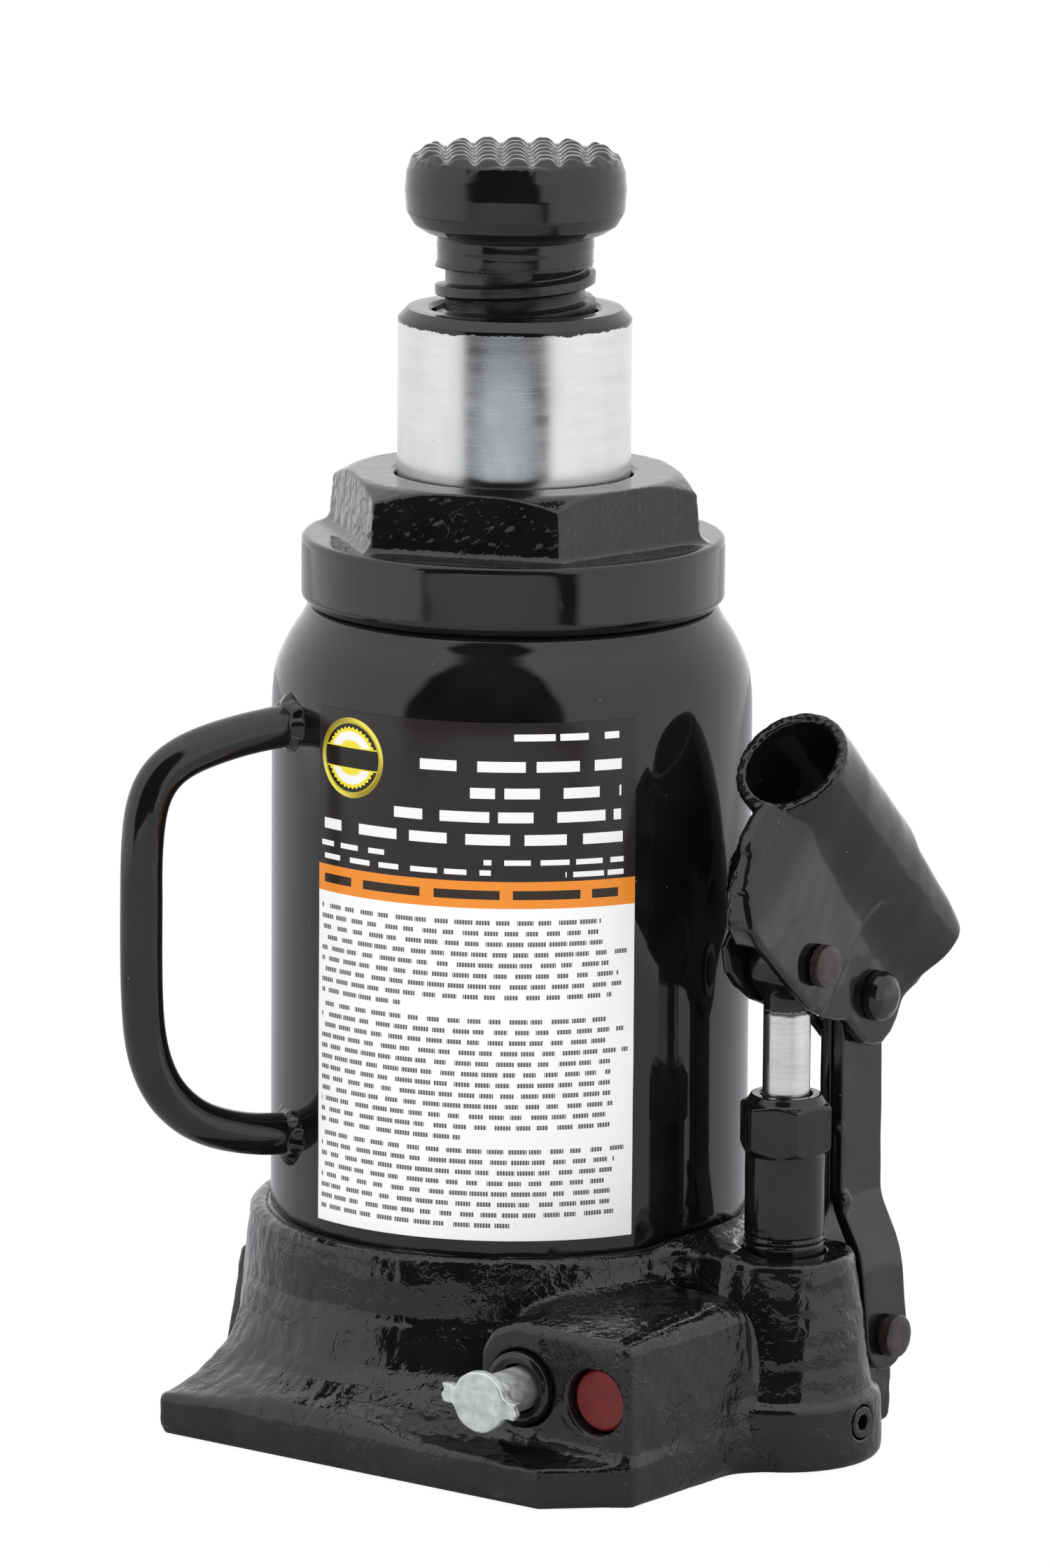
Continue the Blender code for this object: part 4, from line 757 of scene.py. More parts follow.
def nut_distance(x, y, z):
    radius = np.hypot(x, y)
    flats = hexagon(x, y, NUT_TURN) - NUT_FLAT + 0.085 * (z - 204.0)
    cone = (radius - NUT_FLAT) * math.sin(NUT_BEVEL) + (z - NUT_TOP) * math.cos(NUT_BEVEL)
    head = common(extrude(flats, z, 190.0, NUT_TOP, 0.5), cone, 0.7)
    body = join(outline(radius, z, COLLAR) - 1.2, head, 3.2)
    skirt = extrude(np.abs(radius - 36.3) - 1.6, z, 171.0, 190.0, 0.3)
    return cut(np.minimum(body, skirt), outline(radius, z, NUT_BORE), 0.35)


verts, faces = surface(nut_distance, (-49, -49, 169), (49, 49, 214), 0.5)
x, y, z = verts.T
hex_part = fade(z, 197.9, 1.2) * fade(np.hypot(x, y), 31, 4)
hex_sides = hex_part * (np.abs(normals(verts, faces)[:, 2]) < 0.45)
relief = 0.06 * lumps(verts, 5.0, 31) + 0.04 * lumps(verts, 2.0, 33, 18)
relief = (relief * (0.25 * hex_part + 0.75 * hex_sides)
          + 0.012 * lumps(verts, 14, 35) * (z > 182.5))
piece("top_nut_fine", pushed(verts, faces, relief), faces, nut_enamel, "base",
      "top_nut", sharp=55)

# ---------------------------------------------------------------- ram
# (r, z): the foot, the outside with corner radii, then the inside
profile = [(0, 57.8), (11.9, 57.8), (11.9, 58.8), (10.9, 58.8), (10.9, 60.5), (11.9, 60.5),
           (11.9, 70.3), (28.6, 70.3), (28.6, 74.2)]
profile += rounded([(26.0, 75.2), (26.0, 180), (26.0, 230), (26.0, 246.2, 0.5),
                    (23.9, 248.4, 0.5), (19.4, 248.4, 0.3), (18.6, 247.4, 0.2),
                    (18.6, 220.6)], 4)
profile += [(18.6, 152), (0, 146)]
verts, faces = lathe(profile, 192)
piece("ram_fine", verts, faces, ram_steel, "ram", "ram", sharp=35)

# ---------------------------------------------------------------- extension screw: thread
PITCH, TURNS, THREAD_SEGMENTS = 6.2, 13, 160
THREAD_LOW, THREAD_HIGH = 182.0, 258.6
THREAD_END = THREAD_HIGH + 0.3
# one turn of the thread: (share of the pitch, r)
THREAD_FORM = [(0.00, 15.55), (0.06, 15.5), (0.40, 15.5), (0.45, 15.62), (0.50, 16.4),
               (0.545, 17.55), (0.575, 17.80), (0.70, 17.84), (0.90, 17.82), (0.93, 17.6),
               (0.965, 16.4), (0.99, 15.66)]
rows = np.array([(turn + share, radius)
                 for turn in range(-1, TURNS + 2) for share, radius in THREAD_FORM])
angle = np.arange(THREAD_SEGMENTS + 1) * 2 * math.pi / THREAD_SEGMENTS
height = THREAD_LOW + PITCH * (rows[:, :1] + angle[None] / (2 * math.pi))
# the top of the thread runs out to the neck radius
run = np.clip((height - (THREAD_HIGH - 0.9)) / 0.9, 0, 1)
run = run * run * (3 - 2 * run)
radius = rows[:, 1:] + (17.35 - rows[:, 1:]) * run
radius = np.where(height < THREAD_LOW, 15.3, radius)
verts = np.stack([radius * np.cos(angle), radius * np.sin(angle),
                  np.clip(height, THREAD_LOW, THREAD_END)], 2).reshape(-1, 3)
verts[:, :2] *= 1 + (0.0016 * lumps(verts, 4.0, 41))[:, None]
faces = []
for i in range(len(rows) - 1):
    for k in range(THREAD_SEGMENTS):
        patch = height[i:i + 2, k:k + 2]
        if patch.max() > THREAD_LOW and patch.min() < THREAD_END:
            this = i * (THREAD_SEGMENTS + 1) + k
            following = this + THREAD_SEGMENTS + 1
            faces.append((this, this + 1, following + 1, following))
piece("screw_thread_fine", verts, faces, thread_enamel, "extension_screw",
      sharp=35)

# ---------------------------------------------------------------- extension screw: head
SERRATION_TURN, SERRATION_PITCH, HEAD_TOP = math.radians(37.0), 6.2, 284.0
# (r, z)
HEAD = [(0, 262.4), (16.0, 262.4), (16.2, 265.2), (19.6, 266.6), (21.6, 267.9), (22.9, 270.2),
        (23.25, 274.6), (22.95, 278.3), (22.0, 281.0), (20.8, 282.5), (0, 282.7)]
NECK = [(-1, 258.0), (17.25, 258.0), (17.35, 260.5), (17.25, 262.3), (16.8, 264.0),
        (17.6, 265.4), (-1, 268)]


def head_distance(x, y, z):
    radius = np.hypot(x, y)
    solid = join(outline(radius, z, HEAD) - 1.3, outline(radius, z, NECK), 0.8)
    # two crossed sets of grooves in the top
    for turn in (SERRATION_TURN, SERRATION_TURN + math.pi / 2):
        across = x * math.cos(turn + math.pi / 2) + y * math.sin(turn + math.pi / 2)
        across = across / SERRATION_PITCH + 0.5
        offset = np.abs(across - np.round(across)) * SERRATION_PITCH
        groove = (HEAD_TOP - 1.95 + np.hypot(offset, 0.45) * 1.12 - 0.3 - z) / 1.5
        solid = cut(solid, groove, 0.7)
    return solid


verts, faces = surface(head_distance, (-26, -26, 257), (26, 26, 286), 0.27)
relief = 0.022 * lumps(verts, 9, 51) + 0.035 * lumps(verts, 2.4, 52) * (verts[:, 2] > 280.5)
piece("screw_head_fine", pushed(verts, faces, relief), faces, saddle_enamel, "extension_screw",
      "extension_screw", sharp=60)

# shank end below the thread, inside the ram: (r, z)
SHANK = [(0, 173.8), (13.6, 173.8), (15.0, 175.2), (15.0, 176.4), (13.1, 176.4), (13.1, 178.6),
         (15.0, 178.6), (15.3, 182.4)]
verts, faces = lathe(SHANK, 64)
piece("screw_shank_end", verts, faces, thread_enamel, "extension_screw",
      sharp=30)

# ---------------------------------------------------------------- carry handle
HANDLE_COS, HANDLE_SIN = math.cos(math.radians(-120.0)), math.sin(math.radians(-120.0))
HANDLE_ROD, HANDLE_SEGMENTS, HANDLE_RINGS = 4.7, 40, 150
# centre line (distance from the tank axis, z), from the top down
HANDLE = np.array([
    (51.0, 158.2), (53.9, 158.0), (64.0, 156.8), (72.4, 155.0), (79.6, 152.6), (84.7, 149.0),
    (87.3, 144.2), (88.3, 138.0), (88.8, 128.0), (88.8, 104.0), (88.4, 93.0), (87.0, 84.6),
    (83.6, 77.2), (78.8, 72.0), (73.0, 68.6), (63.7, 66.0), (54.0, 65.3), (51.0, 65.2)])
travel = np.r_[0, np.cumsum(np.linalg.norm(np.diff(HANDLE, axis=0), axis=1))]
even = np.linspace(0, travel[-1], HANDLE_RINGS)
line = np.stack([np.interp(even, travel, HANDLE[:, i]) for i in (0, 1)], 1)
for _ in range(30):
    line[1:-1] = 0.5 * line[1:-1] + 0.25 * (line[:-2] + line[2:])
path = np.stack([line[:, 0] * HANDLE_COS, line[:, 0] * HANDLE_SIN, line[:, 1]], 1)
tangent = np.gradient(path, axis=0)
tangent /= np.linalg.norm(tangent, axis=1)[:, None]
side = np.array([-HANDLE_SIN, HANDLE_COS, 0])
verts = tube_verts(path, HANDLE_ROD, np.cross(tangent, side), side, HANDLE_SEGMENTS)
verts = verts + 0.04 * np.stack([lumps(verts, 14, seed) for seed in (61, 62, 63)], 1)
piece("carry_handle_fine", verts, tube_faces(HANDLE_RINGS, HANDLE_SEGMENTS), handle_enamel,
      "base", "carry_handle", sharp=50)


def weld(centre, normal, seed, inner=4.6, outer=7.4, height=3.0, rings=9, segments=72):
    """Irregular fillet bead round a rod that meets a wall."""
    across, side, along, origin = axes_of(normal, centre)
    phase = np.random.RandomState(seed).rand(6) * 6.28
    verts = []
    for i in range(rings):
        rise = i / (rings - 1)
        for k in range(segments):
            turn = 2 * math.pi * k / segments
            wave = (1 + 0.10 * math.sin(3 * turn + phase[0])
                    + 0.07 * math.sin(7 * turn + phase[1])
                    + 0.05 * math.sin(13 * turn + phase[2]))
            radius = outer * wave + (inner - outer * wave) * rise ** 0.75
            lift = height * (1 + 0.12 * math.sin(5 * turn + phase[3]))
            lift = lift * math.sin(rise * math.pi / 2) ** 1.2 - 0.6
            verts.append(origin + across * radius * math.cos(turn)
                         + side * radius * math.sin(turn) + along * lift)
    return np.array(verts), tube_faces(rings, segments)


for i, height in enumerate((158.2, 64.8)):
    verts, faces = weld((53.2 * HANDLE_COS, 53.2 * HANDLE_SIN, height),
                        (HANDLE_COS, HANDLE_SIN, 0.0), seed=71 + i)
    piece("handle_weld_%d" % (i + 1), verts, faces, handle_enamel, "base",
          sharp=40)

# ---------------------------------------------------------------- pump cylinder
# (r, z) about the pump axis
PUMP_BODY = [(-1, 20.3), (7.0, 20.3), (7.0, 44), (8.5, 44), (8.55, 47.2), (8.05, 47.7),
             (8.55, 48.2), (8.55, 48.6), (8.05, 49.1), (8.55, 49.6), (8.6, 76), (8.55, 79.0),
             (7.6, 80.5), (-1, 80.6)]
PLUNGER_BORE = [(-1, 20), (1.8, 20), (1.8, 22), (5.6, 24), (5.6, 70), (7.5, 70), (7.5, 75.3),
                (5.6, 75.3), (5.6, 80.2), (6.3, 81.2), (6.3, 90), (-1, 90)]


def pump_distance(x, y, z):
    radius = np.hypot(x - PUMP_X, y)
    flats = hexagon(x - PUMP_X, y, math.radians(18.5)) - 9.05
    head = extrude(flats, z, 67.6, 79.0, 0.35)
    head = common(head, (radius - 9.5) * 0.5 + (z - 78.8) * 0.87, 0.4)
    head = common(head, (radius - 9.5) * 0.62 - (z - 68.2) * 0.78, 0.4)
    solid = join(outline(radius, z, PUMP_BODY) - 0.3, head, 0.5)
    return cut(solid, outline(radius, z, PLUNGER_BORE), 0.2)


verts, faces = surface(pump_distance, (PUMP_X - 12, -12, 19), (PUMP_X + 12, 12, 83), 0.3)
verts = pushed(verts, faces, 0.03 * lumps(verts, 6, 81) * (verts[:, 2] > 51))
piece("pump_cylinder_fine", verts, faces, pump_enamel, "base", "pump_cylinder",
      sharp=50)


# ---------------------------------------------------------------- pump plunger
def plunger_distance(x, y, z):
    """Shank with a flat round eye; the pin hole is wider in y."""
    across = x - PUMP_X
    dy, dz = y - PLUNGER_PIN[0], z - PLUNGER_PIN[1]
    shank = extrude(np.hypot(across, y) - 5.24, z, 44.0, 106.0, 0.6)
    eye = extrude(np.hypot(dy, dz) - 8.2, across, -5.2, 5.2, 1.0)
    return cut(join(shank, eye, 2.2), (np.hypot(dy / 5.2, dz / 4.1) - 1) * 4.1, 0.3)


verts, faces = surface(plunger_distance, (PUMP_X - 10, -10, 43), (PUMP_X + 10, 10, 121), 0.32)
piece("pump_plunger_fine", verts, faces, plunger_steel, "plunger",
      "pump_plunger", sharp=50)

# ---------------------------------------------------------------- handle socket
# The tube's mouth is at y = 0, z = 155; its axis falls towards +y.
SOCKET_COS, SOCKET_SIN = math.cos(math.radians(43.9)), math.sin(math.radians(43.9))
SOCKET_Z = 155.0
SHAFT_TILT = math.radians(14.0)
# cheek outlines (y, z); both cheeks share the tail
TAIL = [(18.4, 92.0), (21.6, 89.2), (25.4, 88.0), (28.6, 88.0), (31.8, 89.8), (34.3, 92.4),
        (36.4, 96.2), (39.6, 99.2), (44.0, 101.2), (47.6, 104.4), (49.5, 108.0), (49.5, 112.0),
        (44.0, 119.0), (36.0, 122.0), (10.0, 146.0)]
OUTER_CHEEK = [(-4.0, 150.0), (-16.2, 146.6), (-21.0, 141.8), (-20.4, 137.6), (-24.0, 130.9),
               (-24.4, 126.2), (-24.6, 122.4), (-22.0, 118.5), (-11.8, 109.2), (-2.5, 101.3),
               (1.0, 99.8), (5.0, 97.9), (11.0, 96.2), (14.6, 95.6)] + TAIL
INNER_CHEEK = [(-0.2, 142.5), (-6.2, 137.6), (-11.1, 133.3), (-12.6, 127.2), (-10.8, 122.3),
               (-10.0, 119.3), (-13.9, 114.6), (-12.9, 109.4), (-9.4, 105.8), (-3.7, 102.0),
               (3.1, 99.2), (9.5, 96.9), (14.6, 95.6)] + TAIL
PRESSED_AREA = [(21.5, 121.6), (17.2, 115.4), (10.0, 107.2), (6.4, 103.0), (2.6, 98.4),
                (0.6, 94.0), (0.6, 78), (66, 78), (66, 106), (46, 116.0), (33, 121.0)]
TAIL_CUT = [(37.5, 132.0), (62, 136.5), (66, 90), (56.0, 100), (53.4, 106.0), (52.0, 111.0),
            (49.8, 116.0), (45.0, 122.5)]
# opening in the -y wall (x from the pump axis, z)
WINDOW = [(-6.3, 133.6), (-4.1, 134.4), (-3.2, 130.0), (-4.0, 126.6), (-3.5, 124.0),
          (-5.0, 123.0), (-6.6, 127.0)]


def socket_distance(x, y, z):
    across = x - PUMP_X
    along = y * SOCKET_COS - (z - SOCKET_Z) * SOCKET_SIN
    radius = np.hypot(across, y * SOCKET_SIN + (z - SOCKET_Z) * SOCKET_COS)
    tube = extrude(radius - 13.3, along, 0.0, 66.2, 0.7)
    # the two cheeks differ in outline; the wall between them runs at a slant
    share = np.clip((1.5 - across) / 9.5, 0, 1)
    flat = ((outline(y, z, OUTER_CHEEK) - 0.5) * (1 - share)
            + (outline(y, z, INNER_CHEEK) - 0.5) * share)
    # both cheeks are pressed inwards beside the link
    press = np.clip(0.4 - outline(y, z, PRESSED_AREA) / 2.6, 0, 1)
    half = 8.55 - 2.2 * press * press * (3 - 2 * press)
    # the +x cheek bends inwards along a slanted line and becomes the -y wall
    bend = -0.639 * (y - 4.0) + 0.769 * (z - 145.5)
    bend = 0.5 * (bend + np.sqrt(bend * bend + 5.0))
    bent = half - 0.42 * bend
    cheeks = extrude(flat, across, -8.55, 8.55, 1.3)
    cheeks = common(common(cheeks, -across - half, 1.2), across - bent, 1.6)
    cheeks = cut(cheeks, extrude(radius - 13.0, along, -14.0, 2.2), 0.8)
    cheeks = cut(cheeks, along + 4.6, 1.0)
    # hollow between the sheets, open below and through the slanted wall's middle
    between = np.abs(across) - np.minimum(5.85, np.where(across > 0, bent, half) - 2.3)
    inner = common(flat + 2.9, between, 0.8)
    hollow = np.minimum.reduce([
        np.maximum(inner, y - 15.0),
        np.maximum.reduce([between, z - 117.5, y - 15.0]),
        extrude(outline(across, z, WINDOW) - 0.35, y, -40.0, -6.0),
        np.maximum.reduce([np.abs(across) - 3.55, 13.0 - y, z - 112.0])])
    cheeks = cut(cheeks, hollow, 0.9)
    solid = join(cheeks, tube, np.interp(along, [0, 10, 26, 50], [1.2, 3.0, 4.5, 5.0]))
    solid = cut(solid, outline(y, z, TAIL_CUT), 5.0)
    # bore, and clearance for the link's round end and the plunger
    solid = cut(solid, extrude(radius - 10.7, along, -8.0, 90.0), 0.9)
    upper_pin = np.hypot(y - UPPER_PIN[0], z - UPPER_PIN[1])
    plunger_y, plunger_z = y - PLUNGER_PIN[0], z - PLUNGER_PIN[1]
    solid = cut(solid, np.maximum(upper_pin - 8.6, np.abs(across) - 3.6), 0.6)
    offset = plunger_y * math.cos(SHAFT_TILT) + plunger_z * math.sin(SHAFT_TILT)
    solid = cut(solid, np.maximum(np.hypot(across, offset) - 5.62, z - 107.0), 0.3)
    # dent where the tube meets the +x cheek
    dent = np.sqrt((across - 11.2) ** 2 + (y + 8.4) ** 2 + ((z - 139.0) / 0.8) ** 2) - 2.2
    solid = cut(solid, dent, 1.6)
    solid = cut(solid, np.hypot(plunger_y, plunger_z) - 3.3, 0.4)
    solid = cut(solid, upper_pin - 4.1, 0.4)
    # a crimped seam, lip and gutter, runs down the slanted wall
    seam_x = 0.6 + 0.55 * np.sin(z * 0.62) + 0.30 * np.sin(z * 1.7 + 1.0)
    on_seam = np.maximum(np.maximum(z - 134.5, 121.0 - z), y + 6.0) < 0
    lip = np.sqrt((across - seam_x) ** 2 + (solid + 0.05) ** 2) - 0.55
    solid = np.where(on_seam, join(solid, lip, 0.5), solid)
    gutter = np.sqrt((across - seam_x - 0.85) ** 2 + (solid / 0.9) ** 2) - 0.22
    return np.where(on_seam, cut(solid, gutter, 0.25), solid)


verts, faces = surface(socket_distance, (PUMP_X - 15, -38, 84), (PUMP_X + 15, 60, 170), 0.42)
rim = np.exp(-np.abs(verts[:, 1] * SOCKET_COS - (verts[:, 2] - SOCKET_Z) * SOCKET_SIN) / 1.5)
relief = (0.07 * lumps(verts, 16, 91) + 0.04 * lumps(verts, 7, 92)
          + 0.10 * rim * lumps(verts, 2.2, 93))
piece("handle_socket_fine", pushed(verts, faces, relief), faces, socket_enamel,
      "handle_socket", "handle_socket", sharp=60)


# ---------------------------------------------------------------- pins
def pin(name, centre, radius, start, shoulder, head, steps, material, body, seed):
    """Pin along x: chamfered end, shank up to the shoulder, then a head (r, x, corner)."""
    shank = [(0, start), (radius - 0.3, start), (radius, start + 0.3), (radius, shoulder)]
    turned(name + "_fine", shank + rounded([(radius, shoulder)] + head, steps), material, body,
           name, (1, 0, 0), (PUMP_X,) + centre, 64, amp=0.03, seed=seed)


pin("plunger_pin", PLUNGER_PIN, radius=3.0, start=-11.2, shoulder=8.85,
    head=[(4.75, 8.85, 0.2), (4.75, 11.2, 0.45), (3.4, 11.35, 0.3), (0, 11.4)], steps=5,
    material=pin_steel, body="handle_socket", seed=101)
pin("link_pin_upper", UPPER_PIN, radius=3.8, start=-9.0, shoulder=6.6,
    head=[(5.65, 6.6, 0.2), (5.65, 8.4, 0.7), (4.9, 9.6, 0.7), (3.2, 10.4, 1.2), (0, 10.7)],
    steps=6, material=dome_enamel, body="handle_socket", seed=104)
pin("link_pin_lower", LOWER_PIN, radius=3.8, start=-14.6, shoulder=11.1,
    head=[(4.8, 11.1, 0.2), (4.8, 13.65, 0.5), (3.4, 13.85, 0.3), (0, 13.9)], steps=5,
    material=pin_steel, body="fulcrum_link", seed=107)

# ---------------------------------------------------------------- fulcrum link
# The plates close together towards the top: z, and how far each stands off the middle.
SPREAD_Z = [0.0, 10.0, 24.0, 36.0, 40.0, 43.0, 46.5, 50.0, 52.5, 55.0, 130.0]
SPREAD = [7.8, 7.6, 7.35, 6.2, 5.55, 4.5, 2.7, 1.0, 0.2, 0.0, 0.0]
link_z = np.linspace(0, 130, 521)
kernel = np.exp(-np.linspace(-2.5, 2.5, 25) ** 2)
kernel /= kernel.sum()
link_spread = np.interp(link_z, SPREAD_Z, SPREAD)
link_spread = np.convolve(np.pad(link_spread, 12, mode="edge"), kernel, "valid")
link_slope = np.gradient(link_spread, link_z)
LEAN = (UPPER_PIN[0] - LOWER_PIN[0]) / (UPPER_PIN[1] - LOWER_PIN[1])
HALF_PLATE = 1.425
# small bumps on the +x plate: y, z, radius, stand-off
PLATE_BUMPS = [(18.6, 53.2, 1.9, 1.0), (18.3, 51.6, 1.4, 0.3), (18.2, 70.2, 1.3, -0.6)]


def link_distance(side):
    def distance(x, y, z):
        across = side * (x - PUMP_X)
        slope = np.interp(z, link_z, link_slope)
        middle = 0.15 + np.interp(z, link_z, link_spread) + HALF_PLATE
        from_line = y - (LOWER_PIN[0] + (z - LOWER_PIN[1]) * LEAN)
        flat = np.hypot(from_line, z - np.clip(z, LOWER_PIN[1], UPPER_PIN[1])) - 7.9
        solid = extrude(flat, (across - middle) / np.sqrt(1 + slope * slope),
                        -HALF_PLATE, HALF_PLATE, 0.45)
        if side > 0:
            for bump_y, bump_z, radius, stand in PLATE_BUMPS:
                bump_x = np.interp(bump_z, link_z, link_spread) + 2.2 + stand
                bump = np.sqrt((across - bump_x) ** 2 * 1.5 + (y - bump_y) ** 2
                               + (z - bump_z) ** 2) - radius
                solid = join(solid, bump, 1.0)
        solid = cut(solid, np.hypot(y - LOWER_PIN[0], z - LOWER_PIN[1]) - 4.1, 0.3)
        return cut(solid, np.hypot(y - UPPER_PIN[0], z - UPPER_PIN[1]) - 4.15, 0.3)
    return distance


for name, side in (("link_plate_outer", 1), ("link_plate_inner", -1)):
    low = (PUMP_X + min(0, 12.5 * side), 15, 12.5)
    high = (PUMP_X + max(0, 12.5 * side), 36, 109)
    verts, faces = surface(link_distance(side), low, high, 0.36)
    verts = pushed(verts, faces, 0.05 * lumps(verts, 11, 111))
    piece(name + "_fine", verts, faces, link_enamel, "fulcrum_link", name,
          sharp=50)

# ---------------------------------------------------------------- valves
# (r, y) about the release valve axis
SPINDLE = [(-1, -31.8), (1.9, -33.2), (3.6, -33.2), (4.7, -34.4), (4.7, -44.0), (3.8, -44.2),
           (3.8, -46.4), (4.7, -46.6), (4.7, -75.0), (-1, -75.0)]
WING_TURN = math.radians(-5)


def release_distance(x, y, z):
    dx, dz = x - RELEASE_AT[0], z - RELEASE_AT[1]
    radius = np.hypot(dx, dz)
    head = extrude(radius - 6.75, y, -77.5, -74.9, 0.55)
    # a wavy cross bar on the head
    along = dx * math.cos(WING_TURN) + dz * math.sin(WING_TURN)
    across = -dx * math.sin(WING_TURN) + dz * math.cos(WING_TURN)
    wing = np.maximum(np.abs(along + 0.1) - 9.7 + 0.25 * np.sin(across * 2.4),
                      np.abs(across) - (2.05 + 0.12 * np.sin(along * 1.3)))
    head = join(head, extrude(wing, y, -77.3, -75.1, 0.4), 1.0)
    return join(outline(radius, y, SPINDLE) - 0.2, head, 0.8)


verts, faces = surface(release_distance, (RELEASE_AT[0] - 11.5, -79, RELEASE_AT[1] - 11.5),
                       (RELEASE_AT[0] + 11.5, -31, RELEASE_AT[1] + 11.5), 0.26)
relief = (0.05 * lumps(verts, 4.5, 121) + 0.03 * lumps(verts, 2.0, 122)) * (verts[:, 1] < -70)
piece("release_valve_fine", pushed(verts, faces, relief), faces, zinc, "release_valve",
      "release_valve_spindle", sharp=55)

# (r, y, corner radius)
GLAND = [(5.3, -56.0), (8.25, -56.0), (8.25, -63.1, 0.7), (6.9, -63.5, 0.4), (5.5, -62.6, 0.3),
         (5.3, -60.0)]
CAP = [(0, -53.0), (6.3, -53.0), (6.95, -53.6), (6.95, -58.7, 0.5), (6.3, -59.15, 0.3),
       (4.0, -59.0, 2), (0, -58.85)]
turned("release_gland_fine", rounded(GLAND, 5), pump_enamel, "base",
       "release_gland_nut", (0, 1, 0), (RELEASE_AT[0], 0, RELEASE_AT[1]), 96)
turned("safety_cap_fine", rounded(CAP, 5), red_plastic, "base",
       "safety_valve_cap", (0, 1, 0), (CAP_AT[0], 0, CAP_AT[1]), 96)


def set_screw_distance(x, y, z):
    """Short cylinder along x with a hexagon recess."""
    rod = extrude(np.hypot(y, z - PASSAGE_Z) - 3.6, x, 91.0, 97.2, 0.35)
    return cut(rod, np.maximum(hexagon(y, z - PASSAGE_Z, 0.0) - 1.7, 93.6 - x), 0.2)


verts, faces = surface(set_screw_distance, (90, -5, 4.5), (98.5, 5, 14.4), 0.3)
piece("set_screw_fine", verts, faces, pump_enamel, "base", "base_set_screw",
      sharp=50)

# ---------------------------------------------------------------- label
LABEL_START, LABEL_END = math.radians(-105.2), math.radians(-23.6)
LABEL_LOW, LABEL_HIGH = 49.0, 164.8
LABEL_RADIUS = TANK_RADIUS + 0.33
LABEL_WIDTH = (LABEL_END - LABEL_START) * LABEL_RADIUS
# light print on the dark panel: left, right, top, height
PRINT_ROWS = [(48.9, 72.6, 2.0, 2.3), (27.6, 73.2, 7.8, 3.6), (39.3, 73.2, 13.7, 3.6),
              (21.7, 73.2, 19.0, 3.6), (1.9, 74.2, 24.0, 3.6), (1.0, 19.2, 29.4, 1.8),
              (42.4, 73.9, 30.0, 1.8), (1.0, 44.0, 32.3, 1.8), (60.4, 73.9, 32.8, 1.8)]


